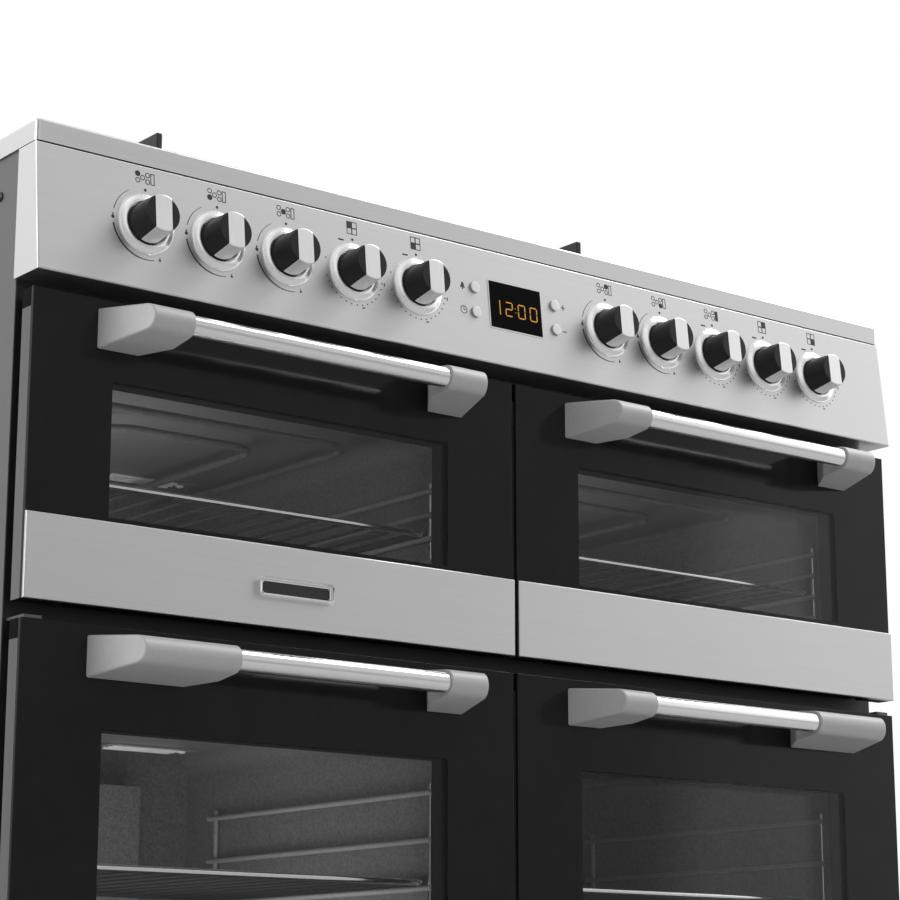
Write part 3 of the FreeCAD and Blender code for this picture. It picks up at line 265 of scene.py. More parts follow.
# Rear panel, base tray and plinth: plain zinc coated sheet at the rear and below, and a black kick plate.
# The rear panel is held by three rows of screws, and the terminal cover by two over the cable entry.
REAR_SHEET_EDGE = 0.5 * MM
REAR_FACE = 0.300
REAR_SCREW_INSET = 12 * MM
REAR_SCREW_SHARES = (0.03, 0.27, 0.5, 0.73, 0.97)
COVER_SCREW_X = (0.200, 0.320)
COVER_SCREW_Z = 0.235
COVER_DEEP = 0.022
zinc = finish("zinc sheet", (0.46, 0.47, 0.48), metal=0.85, rough=0.46, grain=55, tone=0.16, polish=0.1,
              detail=1.0)
black_paint = finish("black paint", (0.012, 0.012, 0.013), rough=0.45, grain=800, tone=0.2, height=0.2)
eased("rear_panel", "rear_panel_and_cover", zinc, edge=REAR_SHEET_EDGE)
eased("base_tray", "base_tray_sheet", zinc, edge=SHEET_EDGE)
eased("plinth", "kick_plate", black_paint, edge=SHEET_EDGE)
panel_low, panel_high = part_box("rear_panel")
upright = Matrix.Rotation(math.radians(-90), 4, "X")
rows = (panel_low.z + REAR_SCREW_INSET, (panel_low.z + panel_high.z) / 2, panel_high.z - REAR_SCREW_INSET)
for row, z in enumerate(rows):
    for step, share in enumerate(REAR_SCREW_SHARES):
        x = panel_low.x + (panel_high.x - panel_low.x) * share
        piece = copy_of(screw, f"rear_screw_{row}_{step}", Matrix.Translation((x, REAR_FACE, z)) @ upright)
        own(piece, "cooker", "zinc_sheet", zinc)
for step, x in enumerate(COVER_SCREW_X):
    on_cover = Matrix.Translation((x, REAR_FACE + COVER_DEEP, COVER_SCREW_Z))
    piece = copy_of(screw, f"cover_screw_{step}", on_cover @ upright)
    own(piece, "cooker", "zinc_sheet", zinc)

# Levelling feet: black moulded pads on threaded stems under the base tray.
# Each is screwed in or out until the cooker stands level.
FOOT_EDGE = 0.8 * MM
black_plastic = finish("black moulding", (0.02, 0.02, 0.021), rough=0.5, grain=900, tone=0.15, height=0.15)
eased("levelling_feet", "foot_pads_and_stems", black_plastic, edge=FOOT_EDGE)

# Front frame and hinges: the black enamelled face frame that the ovens open through.
# The door hinges' lugs, plates and pins are dark plated steel.
FRAME_EDGE = 0.3 * MM
HINGE_EDGE = 0.5 * MM
eased("front_frame", "face_frame", black_paint, edge=FRAME_EDGE)
hinge_grey = finish("hinge plating", (0.13, 0.13, 0.132), metal=0.6, rough=0.45, grain=200, tone=0.1)
eased("hinge_brackets", "hinge_lugs_and_plates", hinge_grey, edge=HINGE_EDGE)

# Ovens: enamelled steel boxes with wire side racks and shelves, grill rods, and a fan behind its cover.
# The wire is chromed and bright at the front; behind that it is painted darker as painted shade, grey on the
# racks and near black on the shelves. The heating rods are dull steel.
FAN_EDGE = 0.3 * MM
MOTOR_EDGE = 0.8 * MM
SEAL_EDGE = 1.0 * MM
enamel = finish("oven enamel", (0.11, 0.11, 0.112), rough=0.3, grain=450, tone=0.35, polish=0.05, detail=4.0)
bright_wire = finish("chromed wire", (0.95, 0.95, 0.95), metal=1.0, rough=0.14, grain=500, tone=0.03)
dull_steel = finish("heat dulled steel", (0.11, 0.108, 0.105), metal=0.3, rough=0.35, grain=160, tone=0.2)
# Painted shade: the rear wire finishes are darker copies of the chromed wire, for the dim inside of the
# ovens.
dark_wire_painted_shade = finish("shelf wire painted dark for shade", (0.012, 0.012, 0.012), metal=0.2, rough=0.7, grain=300, tone=0.15)
rack_wire_painted_shade = finish("side rack wire painted grey for shade", (0.34, 0.34, 0.34), metal=0.4, rough=0.35, grain=300, tone=0.1)
seal_black = finish("seal rubber", (0.018, 0.018, 0.018), rough=0.7, grain=600, tone=0.2, height=0.2)
WIRES = (("shelf_racks", "side_rack_wires", rack_wire_painted_shade, 45 * MM),
         ("oven_shelves", "wire_shelves", dark_wire_painted_shade, 8 * MM))


def paint(piece, second):
    """Puts the faces that pass a test on a piece's second finish, and the others on its first."""
    for face in piece.data.polygons:
        face.material_index = 1 if second(face) else 0


eased("oven_liners", "oven_boxes", enamel)
for node, name, rear_wire_painted_shade, bright_length in WIRES:
    wires = eased(node, name, bright_wire)
    dress(wires, bright_wire, rear_wire_painted_shade)
    bright_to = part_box(node)[0].y + bright_length
    paint(wires, lambda face: face.center.y > bright_to)
eased("heating_elements", "grill_rods_and_ring", dull_steel)
eased("fan_cover", "oven_fan_cover", enamel, edge=SHEET_EDGE)
eased("fan_motor", "oven_fan_motor", zinc, edge=MOTOR_EDGE)
eased("oven_fan", "oven_fan_wheel", dull_steel, edge=FAN_EDGE)
eased("door_seals", "oven_mouth_seals", seal_black, edge=SEAL_EDGE)

# Roof vents: a small plate with three raised ribs on the roof of each left oven.
# They are bright steel, held by one screw; the plate behind the ribs is painted dark grey as painted shade
# between the ribs.
VENT_SIZE = Vector((100 * MM, 30 * MM, 1.2 * MM))
VENT_EDGE = 0.4 * MM
RIB_SIZE = Vector((76 * MM, 4 * MM, 2.6 * MM))
RIB_EDGE = 1.1 * MM
RIB_PITCH = 9 * MM
RIB_SUNK = 0.2 * MM
RIB_SHIFT = -7 * MM
VENT_SCREW_X = 40 * MM
PLATE_SLACK = 0.1 * MM
VENTS = (("upper", (-0.150, 0.127, 0.7152)), ("lower", (-0.137, 0.131, 0.4482)))
vent_steel = finish("vent steel", (0.80, 0.80, 0.80), metal=0.05, rough=0.35, grain=400, tone=0.04)
# Painted shade: the plate behind the ribs is dark grey for the shade between them.
vent_shade = finish("vent plate painted shade", (0.16, 0.16, 0.16), metal=0.05, rough=0.5, grain=400, tone=0.1)


def block(name, middle, size):
    """Block at its size and place, to be shaped further."""
    bpy.ops.object.select_all(action="DESELECT")
    bpy.ops.mesh.primitive_cube_add(size=1, location=middle)
    bpy.context.view_layer.objects.active.scale = size
    return shaped(name)


def slab(name, middle, size, edge):
    """Flat piece with broken corners, about its middle."""
    piece = block(name, middle, size)
    soften(piece, edge)
    smooth(piece)
    return piece


for which, place in VENTS:
    roof = Vector(place)
    vent = slab("roof_vent_" + which, roof - Vector((0, 0, VENT_SIZE.z / 2)), VENT_SIZE, VENT_EDGE)
    added = []
    below = RIB_SUNK - VENT_SIZE.z - RIB_SIZE.z / 2
    for row in (-1, 0, 1):
        middle = roof + Vector((RIB_SHIFT, row * RIB_PITCH, below))
        added.append(slab(f"rib_{row}", middle, RIB_SIZE, RIB_EDGE))
    screw_at = Matrix.Translation(roof + Vector((VENT_SCREW_X, 0, -VENT_SIZE.z)))
    added.append(copy_of(screw, "vent_head", screw_at @ Matrix.Rotation(math.pi, 4, "X")))
    only(vent)
    for piece in added:
        piece.select_set(True)
    bpy.ops.object.join()
    own(vent, "cooker", "bright_wire", vent_steel, vent_shade)
    plate_foot = roof.z - VENT_SIZE.z - PLATE_SLACK
    paint(vent, lambda face: face.center.z > plate_foot)
bpy.data.objects.remove(screw)

# Door glass: a pane of toughened glass as large as the door, printed black behind along its border.
# The middle stays clear with a grey tint, so that the oven shows through. The inner pane is all clear.
# Both are held by the door's frame.
GLASS_EDGE = 0.7 * MM
WINDOW_SIDE = 75 * MM
WINDOW_FOOT = 73 * MM
WINDOW_DROP = {"upper": 68 * MM, "lower": 82 * MM}
MIRROR_ROUGH = 0.02
GLANCE_POWER = 5.0
FACES_OUT = 0.9
DOORS = ("upper_left", "upper_right", "lower_left", "lower_right")


def gloss_black(name, colour, rough, ior=1.36):
    """Deep black glass: hardly any colour of its own, and a clear reflection."""
    return finish(name, colour, rough=rough, grain=40, tone=0.1, polish=0.01, ior=ior)


def clear_pane(name, tint, shine):
    """Thin glass: what is behind it shows through its tint, and a glancing view shows more reflection."""
    material = bpy.data.materials.new(name)
    material.use_nodes = True
    tree = material.node_tree
    tree.nodes.remove(tree.nodes["Principled BSDF"])
    through = tree.nodes.new("ShaderNodeBsdfTransparent")
    through.inputs["Color"].default_value = tint
    mirror = tree.nodes.new("ShaderNodeBsdfGlossy")
    mirror.inputs["Roughness"].default_value = MIRROR_ROUGH
    glance = tree.nodes.new("ShaderNodeLayerWeight")
    steep = tree.nodes.new("ShaderNodeMath")
    steep.operation = "POWER"
    steep.inputs[1].default_value = GLANCE_POWER
    share = tree.nodes.new("ShaderNodeMapRange")
    share.inputs["To Min"].default_value = shine
    both = tree.nodes.new("ShaderNodeMixShader")
    tree.links.new(glance.outputs["Facing"], steep.inputs[0])
    tree.links.new(steep.outputs["Value"], share.inputs["Value"])
    tree.links.new(share.outputs["Result"], both.inputs["Fac"])
    tree.links.new(through.outputs["BSDF"], both.inputs[1])
    tree.links.new(mirror.outputs["BSDF"], both.inputs[2])
    tree.links.new(both.outputs["Shader"], tree.nodes["Material Output"].inputs["Surface"])
    return material


def in_window(face, left, right, foot, head):
    """True on the pane's front and rear faces inside the clear window."""
    centre = face.center
    return left < centre.x < right and foot < centre.z < head and abs(face.normal.y) > FACES_OUT


print_black = gloss_black("black printed glass", (0.0135, 0.0135, 0.0138), 0.1, ior=1.27)
window_tint = clear_pane("tinted window glass", (0.97, 0.97, 0.975, 1.0), 0.02)
inner_clear = clear_pane("inner window glass", (0.985, 0.985, 0.985, 1.0), 0.01)
for door in DOORS:
    low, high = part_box("door_glass_" + door)
    pane = block("door_pane_" + door, (low + high) / 2, high - low)
    left = low.x + WINDOW_SIDE
    right = high.x - WINDOW_SIDE
    foot = low.z + WINDOW_FOOT
    head = high.z - WINDOW_DROP[door.split("_")[0]]
    soften(pane, GLASS_EDGE, 3)
    cuts = [((x, 0, 0), (1, 0, 0)) for x in (left, right)] + [((0, 0, z), (0, 0, 1)) for z in (foot, head)]
    for spot, normal in cuts:
        edit(pane)
        bpy.ops.mesh.bisect(plane_co=spot, plane_no=normal)
        done()
    smooth(pane)
    own(pane, "door_" + door, "door_glass", print_black, window_tint)
    paint(pane, lambda face: in_window(face, left, right, foot, head))
    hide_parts("door_glass_" + door)
    dress(nodes["door_inner_glass_" + door], inner_clear)

# Door frames and trims: aluminium frames that carry the glass and the inner pane, black but for their sides.
# A brushed stainless steel strip is bonded across the foot of each door.
FRAME_CAP = 16 * MM
FRAME_SIDE = 12 * MM
SURROUND_EDGE = 0.5 * MM
frame_black = finish("door frame black", (0.006, 0.006, 0.006), rough=0.7, grain=500, tone=0.2, ior=1.15)
frame_grey = finish("door frame alloy", (0.17, 0.17, 0.173), metal=0.6, rough=0.45, grain=400, tone=0.05)
steel = finish("brushed stainless", (0.66, 0.66, 0.662), metal=1.0, rough=0.36, grain=(5, 2200, 2200),
               tone=0.03, polish=0.04, height=0.04)
for door in DOORS:
    surround = eased("door_frame_" + door, "door_surround_" + door, frame_grey, edge=SURROUND_EDGE)
    low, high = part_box("door_frame_" + door)
    below = high.z - FRAME_CAP
    edit(surround)
    bpy.ops.mesh.bisect(plane_co=(0, 0, below), plane_no=(0, 0, 1))
    done()
    dress(surround, frame_grey, frame_black)
    left = low.x + FRAME_SIDE
    right = high.x - FRAME_SIDE
    paint(surround, lambda face: face.center.z >= below or left < face.center.x < right)
    eased("door_trim_" + door, "door_strip_" + door, steel)

# Badge: a small bare plate with a raised bright rim and a dark sunk field.
# It is bonded to the middle of the upper left door's strip.
BADGE_SIZE = Vector((76 * MM, 2.2 * MM, 17.5 * MM))
BADGE_X = -0.2429
BADGE_Z = 0.5365
BADGE_RIM = 1.6 * MM
BADGE_CORNER = 4.5 * MM
BADGE_SUNK = 0.9 * MM
BADGE_EDGE = 0.25 * MM
BADGE_NEAR = 0.1 * MM
badge_dark = finish("badge field", (0.035, 0.035, 0.037), metal=0.3, rough=0.3, grain=(200, 900, 900),
                    tone=0.2)
chrome = finish("bright chrome", (0.86, 0.86, 0.865), metal=1.0, rough=0.17, grain=300, tone=0.02,
                polish=0.03)
strip_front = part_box("door_trim_upper_left")[0].y
badge = block("badge_plate", (BADGE_X, strip_front - BADGE_SIZE.y / 2, BADGE_Z), BADGE_SIZE)
edit(badge, "DESELECT")
done()
for edge in badge.data.edges:
    start, end = (badge.data.vertices[i].co for i in edge.vertices)
    edge.select = abs(start.y - end.y) > BADGE_SIZE.y / 2
only(badge)
bpy.ops.object.mode_set(mode="EDIT")
bpy.ops.mesh.bevel(offset=BADGE_CORNER, segments=6, affect="EDGES")
done()
pick(badge, lambda face: face.normal.y < -FACES_OUT)
bpy.ops.mesh.inset(thickness=BADGE_RIM)
bpy.ops.mesh.extrude_region_move(TRANSFORM_OT_translate={"value": (0, BADGE_SUNK, 0)})
done()
own(badge, "door_upper_left", "brushed_steel", chrome, badge_dark)
field = strip_front - BADGE_SIZE.y + BADGE_SUNK
paint(badge, lambda face: face.normal.y < -FACES_OUT and abs(face.center.y - field) < BADGE_NEAR)
soften(badge, BADGE_EDGE)
smooth(badge)

# Door handles: a chromed bar between two leaning end pieces that stand on the glass.
# The ends are satin silver castings, longer on the hinge side of the lower doors.
BAR_RADIUS = 9 * MM
BAR_SET_BACK = 11.5 * MM
BAR_DROP = 15.8 * MM
BAR_SLACK = 0.05 * MM
CASTING_EDGE = 1.0 * MM
satin = finish("satin silver casting", (0.51, 0.51, 0.515), metal=0.22, rough=0.52, grain=350, tone=0.04,
               polish=0.05)


def on_bar(face, points, axis):
    """True on the faces of a handle that lie wholly on its bar."""
    far = max((points[i].co.yz - axis).length for i in face.vertices)
    return far < BAR_RADIUS + BAR_SLACK


for door in DOORS:
    handle = eased("door_handle_" + door, "handle_" + door, satin, edge=CASTING_EDGE, segments=3)
    dress(handle, satin, chrome)
    low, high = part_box("door_handle_" + door)
    axis = Vector((low.y + BAR_SET_BACK, high.z - BAR_DROP))
    points = handle.data.vertices
    paint(handle, lambda face: on_bar(face, points, axis))

# Control panel: a folded box of brushed stainless steel under the hob's front edge.
# It leans, with its foot further forward than its top, and carries all the controls.
eased("control_fascia", "control_panel", steel)

# Controls behind the panel: brass gas taps on a square rail with the inlet pipe, and black oven switches.
# The rail is zinc plated steel, and the taps stand between it and the panel.
RAIL_EDGE = 0.6 * MM
brass = finish("turned brass", (0.62, 0.46, 0.2), metal=1.0, rough=0.35, grain=200, tone=0.08)
dress(nodes["gas_taps"], brass)
dress(nodes["oven_controls"], black_plastic)
eased("gas_rail", "gas_rail_and_inlet", zinc, edge=RAIL_EDGE)

# Knob rings: shallow dished rings of satin chrome, pressed on to the panel round each knob.
# The profile is (radius, height) in millimetres, from the outer foot over the rim to the inner foot.
RING_PROFILE = [(27.0, 0.0), (27.0, 0.7), (26.7, 1.0), (25.7, 1.1), (25.4, 1.3), (22.7, 3.1), (21.1, 3.5),
                (20.3, 3.6), (19.7, 3.4), (19.5, 2.9), (19.5, 0.3)]
PANEL_MIDDLE = (0, -0.2735, 0.8247)
PANEL_TALL = 111
PANEL_FORWARD = 11
LEAN = math.atan2(PANEL_FORWARD, PANEL_TALL)
PANEL = Matrix.Translation(PANEL_MIDDLE) @ Matrix.Rotation(math.radians(90) - LEAN, 4, "X")
KNOB_RISE = 3.0
KNOB_X = {"knob_rear_left_burner": -398, "knob_front_left_burner": -327, "knob_centre_burner": -256,
          "knob_upper_left_oven": -185, "knob_lower_left_oven": -114, "knob_rear_right_burner": 114,
          "knob_front_right_burner": 185, "knob_hot_zone": 256, "knob_upper_right_oven": 327,
          "knob_lower_right_oven": 398}
ring_metal = finish("satin chrome rings", (0.97, 0.97, 0.97), metal=0.75, rough=0.24, grain=500, tone=0.03)


def on_panel(x, y):
    """Place of a piece on the panel, in millimetres from the panel's middle."""
    return PANEL @ Matrix.Translation((x * MM, y * MM, 0))


ring_master = turned("ring_master", RING_PROFILE, sides=96)
for index, x in enumerate(KNOB_X.values()):
    ring = copy_of(ring_master, f"knob_ring_{index}", on_panel(x, KNOB_RISE))
    own(ring, "cooker", "satin_chrome", ring_metal)
    if index == 0:
        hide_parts("knob_bezels")
bpy.data.objects.remove(ring_master)

# Knobs: black moulded caps on the tap and switch spindles, a little narrower at the top than at the foot.
# A silver strip is let in across the top and down both sides.
# The profile is (radius, height) in millimetres, from foot to top.
KNOB_PROFILE = [(18.6, 0.8), (18.6, 4.1), (18.2, 4.5), (17.9, 4.5), (15.9, 26.9), (15.6, 27.6), (14.9, 27.9)]
STRIP_FOOT = 4.6 * MM
STRIP_HALF = 7.9 * MM
STRIP_PROUD = 0.45 * MM
STRIP_EDGE = 0.2 * MM
knob_black = finish("knob moulding", (0.024, 0.024, 0.025), rough=0.34, grain=700, tone=0.15, height=0.08,
                    ior=1.28)
strip_silver = finish("knob strip", (0.90, 0.90, 0.905), metal=0.65, rough=0.32, grain=(900, 30, 30),
                      tone=0.03)


def in_strip(face):
    """True on the band across a knob's top and down its sides."""
    return abs(face.center.x) < STRIP_HALF and face.center.z > STRIP_FOOT


knob_master = turned("knob_master", KNOB_PROFILE, sides=96)
for side in (-STRIP_HALF, STRIP_HALF):
    edit(knob_master)
    bpy.ops.mesh.bisect(plane_co=(side, 0, 0), plane_no=(1, 0, 0))
    done()
paint(knob_master, in_strip)
pick(knob_master, in_strip)
bpy.ops.mesh.extrude_region_shrink_fatten(TRANSFORM_OT_shrink_fatten={"value": STRIP_PROUD})
done()
soften(knob_master, STRIP_EDGE, angle=50)
smooth(knob_master)
dress(knob_master, knob_black, strip_silver)
for node, x in KNOB_X.items():
    piece = copy_of(knob_master, "cap_of_" + node, on_panel(x, KNOB_RISE))
    own(piece, node, "knob_black", knob_black, strip_silver)
    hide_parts(node)
bpy.data.objects.remove(knob_master)

# Printed marks: black ink on the panel. Each knob has an index dot, a small map of what it works and a scale:
# a tapering sweep with flame signs for gas, and dots for the ovens and the hot zone.
# Sizes are in millimetres from the panel's middle, and turns in degrees.
INK_THICK = 0.05 * MM
INK_LIFT = 0.02 * MM
MAP_RISE = 44.7
MAP_LINE = 0.75
HOB_MAP = {"rear_left": (-7.0, 3.0), "front_left": (-7.0, -3.0), "centre": (-2.2, 0.0),
           "rear_right": (2.6, 3.0), "front_right": (2.6, -3.0)}
HOB_RING = 2.0
HOB_SPOT = 2.6
ZONE_X = 7.3
ZONE_BOX = (3.2, 9.6)
ZONE_FILL = (3.0, 9.4)
OVEN_MAP = {"upper_left": (-2.7, 3.0), "upper_right": (2.7, 3.0), "lower_left": (-2.7, -3.0),
            "lower_right": (2.7, -3.0)}
OVEN_BOX = (5.0, 5.6)
OVEN_FILL = (4.2, 4.8)
DOT_RISE = 33.8
DOT_RADIUS = 1.3
GAS_SCALE = 31.8
GAS_SWEEPS = (((30, 75), (0.4, 0.8)), ((98, 145), (1.5, 1.4)), ((145, 192), (1.4, 0.5)))
FLAMES = ((87, 1.6), (203, 1.1))
FLAME_DROP = 0.7
FLAME_HALF = 0.6
FLAME_FOOT = 0.4
FLAME_TIP = 1.9
OVEN_SCALE = 31.0
OVEN_DOTS = [*range(100, 256, 11), 285]
OVEN_DOT_RADIUS = 0.75
OVEN_BARS = (100, 165)
BAR_OUT = 2.6
BAR_HALF_TURN = 3
BAR_LINE = 1.1
OFF_BAR = (-12.5, 31.5, 6.0, 1.5)
SMALL_SIDES = 12
ink = finish("panel ink", (0.02, 0.02, 0.02), rough=0.5, grain=900, tone=0.2)


def around(x, y, radius, turn):
    """Point on a circle, turned in degrees anticlockwise from twelve o'clock."""
    angle = math.radians(90 + turn)
    return x + radius * math.cos(angle), y + radius * math.sin(angle)


def disc(x, y, radius, sides=20):
    """Outline of a round spot."""
    return [around(x, y, radius, 360 * i / sides - 90) for i in range(sides)]


def bar_shape(x, y, width, height):
    """Outline of a plain bar."""
    left = x - width / 2
    right = x + width / 2
    foot = y - height / 2
    top = y + height / 2
    return [(left, foot), (right, foot), (right, top), (left, top)]


def sweep(x, y, radius, turns, widths, steps=24):
    """Strips of an arc whose width tapers from one value to the next."""
    strips = []
    for i in range(steps):
        strip = []
        for j, side in ((i, -1), (i, 1), (i + 1, 1), (i + 1, -1)):
            share = j / steps
            turn = turns[0] + (turns[1] - turns[0]) * share
            reach = radius + side * (widths[0] + (widths[1] - widths[0]) * share) / 2
            strip.append(around(x, y, reach, turn))
        strips.append(strip)
    return strips


def hoop(x, y, radius, line, sides=20):
    """Strips of a thin ring."""
    return sweep(x, y, radius, (0, 360), (line, line), sides)


def frame_shape(x, y, width, height, line):
    """Strips of a thin rectangle."""
    level = [bar_shape(x, y + side * height / 2, width + line, line) for side in (1, -1)]
    return level + [bar_shape(x + side * width / 2, y, line, height - line) for side in (-1, 1)]


def flame(x, y, size):
    """Drop of a flame sign: a round foot and a point above it, in shares of its size."""
    half = size * FLAME_HALF
    foot = y + size * FLAME_FOOT
    tip = y + size * FLAME_TIP
    return [disc(x, y - size * FLAME_DROP, size, SMALL_SIDES), [(x - half, foot), (x + half, foot), (x, tip)]]


def printed(name, shapes, surface, slot, lift=INK_LIFT, thick=INK_THICK):
    """Flat print on the panel from outlines in millimetres about its middle."""
    points = []
    faces = []
    for shape in shapes:
        faces.append(list(range(len(points), len(points) + len(shape))))
        points += [(x * MM, y * MM, lift) for x, y in shape]
    mesh = bpy.data.meshes.new(name)
    mesh.from_pydata(points, [], faces)
    piece = bpy.data.objects.new(name, mesh)
    bpy.context.scene.collection.objects.link(piece)
    edit(piece)
    bpy.ops.mesh.normals_make_consistent(inside=False)
    bpy.ops.mesh.extrude_region_move(TRANSFORM_OT_translate={"value": (0, 0, thick)})
    bpy.ops.mesh.select_all(action="SELECT")
    bpy.ops.mesh.normals_make_consistent(inside=False)
    done()
    piece.data.transform(PANEL)
    return own(piece, "cooker", slot, surface)


def oven_map(x, oven):
    """Four small boxes for the ovens, one of them filled."""
    shapes = []
    for place, (dx, dy) in OVEN_MAP.items():
        shapes += frame_shape(x + dx, MAP_RISE + dy, *OVEN_BOX, MAP_LINE)
        if place == oven:
            shapes.append(bar_shape(x + dx, MAP_RISE + dy, *OVEN_FILL))
    return shapes


def hob_map(x, zone):
    """Five small rings for the burners and a box for the hot zone, one of them filled."""
    shapes = []
    for place, (dx, dy) in HOB_MAP.items():
        shapes += hoop(x + dx, MAP_RISE + dy, HOB_RING, MAP_LINE)
        if place == zone:
            shapes.append(disc(x + dx, MAP_RISE + dy, HOB_SPOT))
    shapes += frame_shape(x + ZONE_X, MAP_RISE, *ZONE_BOX, MAP_LINE)
    if zone == "hot_zone":
        shapes.append(bar_shape(x + ZONE_X, MAP_RISE, *ZONE_FILL))
    return shapes


def gas_scale(x):
    """Tapering sweep from high to low, with a large and a small flame."""
    shapes = []
    for turns, widths in GAS_SWEEPS:
        shapes += sweep(x, KNOB_RISE, GAS_SCALE, turns, widths)
    for turn, size in FLAMES:
        shapes += flame(*around(x, KNOB_RISE, GAS_SCALE, turn), size)
    return shapes


def heat_scale(x):
    """Bar for off, and dots with two short bars outside them."""
    across, up, width, height = OFF_BAR
    shapes = [bar_shape(x + across, up, width, height)]
    for turn in OVEN_DOTS:
        shapes.append(disc(*around(x, KNOB_RISE, OVEN_SCALE, -turn), OVEN_DOT_RADIUS, SMALL_SIDES))
    for turn in OVEN_BARS:
        turns = (-turn - BAR_HALF_TURN, -turn + BAR_HALF_TURN)
        shapes += sweep(x, KNOB_RISE, OVEN_SCALE + BAR_OUT, turns, (BAR_LINE, BAR_LINE), 4)
    return shapes


marks = []
for node, x in KNOB_X.items():
    what = node.replace("knob_", "").replace("_burner", "").replace("_oven", "")
    marks.append(disc(x, DOT_RISE, DOT_RADIUS))
    marks += oven_map(x, what) if node.endswith("oven") else hob_map(x, what)
    marks += gas_scale(x) if node.endswith("burner") else heat_scale(x)
printed("panel_marks", marks, ink, "black_plastic")

# Clock: a gloss black lens with a thin light line printed round it, a painted highlight of its edge, set into
# the panel between the two groups of knobs.
# Amber bars laid on the lens show the time. Sizes are in millimetres.
CLOCK_WIDE = 62.0
CLOCK_TALL = 45.5
CLOCK_MID = 3.0
LENS_DEEP = 5.4
LENS_SET = -2.3
LENS_EDGE = 0.5 * MM
RIM_LINE = 0.9
RIM_THICK = 0.45 * MM
DIGIT_WIDE = 7.9
DIGIT_TALL = 13.1
DIGIT_LINE = 1.15
DIGIT_GAP = 0.25
DIGIT_MID = 0.85
DIGIT_X = (-23.0, -8.2, 6.9, 21.2)
TIME_SHOWN = "1200"
DIGIT_LIFT = 0.42 * MM
DIGIT_THICK = 0.06 * MM
ONE_SHARE = 0.9
COLON_X = -0.7
COLON_HALF = 2.0
COLON_SIZE = 0.8
GLOW = 0.34
SEGMENTS = {"top": (0, 1), "middle": (0, 0), "bottom": (0, -1), "top_left": (-1, 0.5), "top_right": (1, 0.5),
            "low_left": (-1, -0.5), "low_right": (1, -0.5)}
LIT = {"2": ("top", "top_right", "middle", "low_left", "bottom"),
       "0": ("top", "top_right", "low_right", "bottom", "low_left", "top_left")}
lens_black = gloss_black("clock lens", (0.003, 0.003, 0.0034), 0.06, ior=1.14)
lens_size = (CLOCK_WIDE * MM, CLOCK_TALL * MM, LENS_DEEP * MM)
lens = block("clock_lens_and_housing", (0, CLOCK_MID * MM, LENS_SET * MM), lens_size)
soften(lens, LENS_EDGE, 3)
smooth(lens)
lens.data.transform(PANEL)
own(lens, "cooker", "clock_black", lens_black)
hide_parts("clock_module")
# Painted highlight: the light printed frame round the lens stands in for the lit edge of its recess.
rim_painted_highlight = finish("clock rim", (0.88, 0.88, 0.88), metal=0.3, rough=0.3, grain=600, tone=0.03)
rim = frame_shape(0, CLOCK_MID, CLOCK_WIDE + RIM_LINE, CLOCK_TALL + RIM_LINE, RIM_LINE)
printed("clock_rim_painted_highlight", rim, rim_painted_highlight, "satin_chrome", thick=RIM_THICK)
amber = finish("amber display", (0.62, 0.28, 0.022), rough=0.4, grain=900, tone=0.08)
glow = amber.node_tree.nodes["Principled BSDF"]
amber.node_tree.links.new(glow.inputs["Base Color"].links[0].from_socket, glow.inputs["Emission Color"])
glow.inputs["Emission Strength"].default_value = GLOW


def segment(x, y, lying):
    """Six-sided bar of a number display."""
    half = (DIGIT_WIDE if lying else DIGIT_TALL / 2) / 2 - DIGIT_GAP
    line = DIGIT_LINE / 2
    inner = half - line
    shape = [(-half, 0), (-inner, -line), (inner, -line), (half, 0), (inner, line), (-inner, line)]
    return [(x + a, y + b) if lying else (x + b, y + a) for a, b in shape]


digits = []
for number, x in zip(TIME_SHOWN, DIGIT_X):
    if number == "1":
        line = DIGIT_LINE * ONE_SHARE
        digits.append(bar_shape(x + DIGIT_WIDE / 2, DIGIT_MID, line, DIGIT_TALL + DIGIT_LINE))
        continue
    for bar_name in LIT[number]:
        across, up = SEGMENTS[bar_name]
        digits.append(segment(x + across * DIGIT_WIDE / 2, DIGIT_MID + up * DIGIT_TALL / 2, across == 0))
for y in (DIGIT_MID - COLON_HALF, DIGIT_MID + COLON_HALF):
    digits.append(bar_shape(COLON_X, y, COLON_SIZE, COLON_SIZE))
printed("clock_digits", digits, amber, "clock_black", lift=DIGIT_LIFT, thick=DIGIT_THICK)

# Clock buttons: four round silver lacquered caps that are pressed in to set the clock; their sides are
# painted a darker grey as painted shade.
# A flange behind the panel holds each, and beside it is a printed sign: a bell, a clock face, plus or minus.
# Sizes are in millimetres, and the profile is (radius, height) from foot to top.
BUTTON_PROFILE = [(6.45, -3.0), (6.45, -1.6), (5.25, -1.55), (5.25, 1.8), (5.1, 2.05), (4.75, 2.18),
                  (2.1, 2.2)]
BUTTON_SIDE = 48
BUTTON_HIGH = 15
BUTTON_LOW = -9
SIDE_TILT = 0.3
PANEL_FACE = PANEL.to_3x3() @ Vector((0, 0, 1))
BUTTONS = {"button_timer": (-BUTTON_SIDE, BUTTON_HIGH), "button_clock": (-BUTTON_SIDE, BUTTON_LOW),
           "button_plus": (BUTTON_SIDE, BUTTON_HIGH), "button_minus": (BUTTON_SIDE, BUTTON_LOW)}
SIGN_RIGHT = 59
SIGN_LEFT = -62
SIGN_LONG = 4.4
SIGN_LINE = 1.0
PLUS_ARM = 2.3
PLUS_ARM_AT = 1.6
FACE_RADIUS = 3.6
FACE_LINE = 0.8
HAND_UP = 2.6
HAND_ACROSS = 2.4
HAND_SHIFT = 1.0
BELL = [(-3.2, -2.4), (3.2, -2.4), (1.8, -0.6), (1.4, 2.0), (0, 3.4), (-1.4, 2.0), (-1.8, -0.6)]
CLAPPER_DROP = 3.4
CLAPPER_RADIUS = 0.9
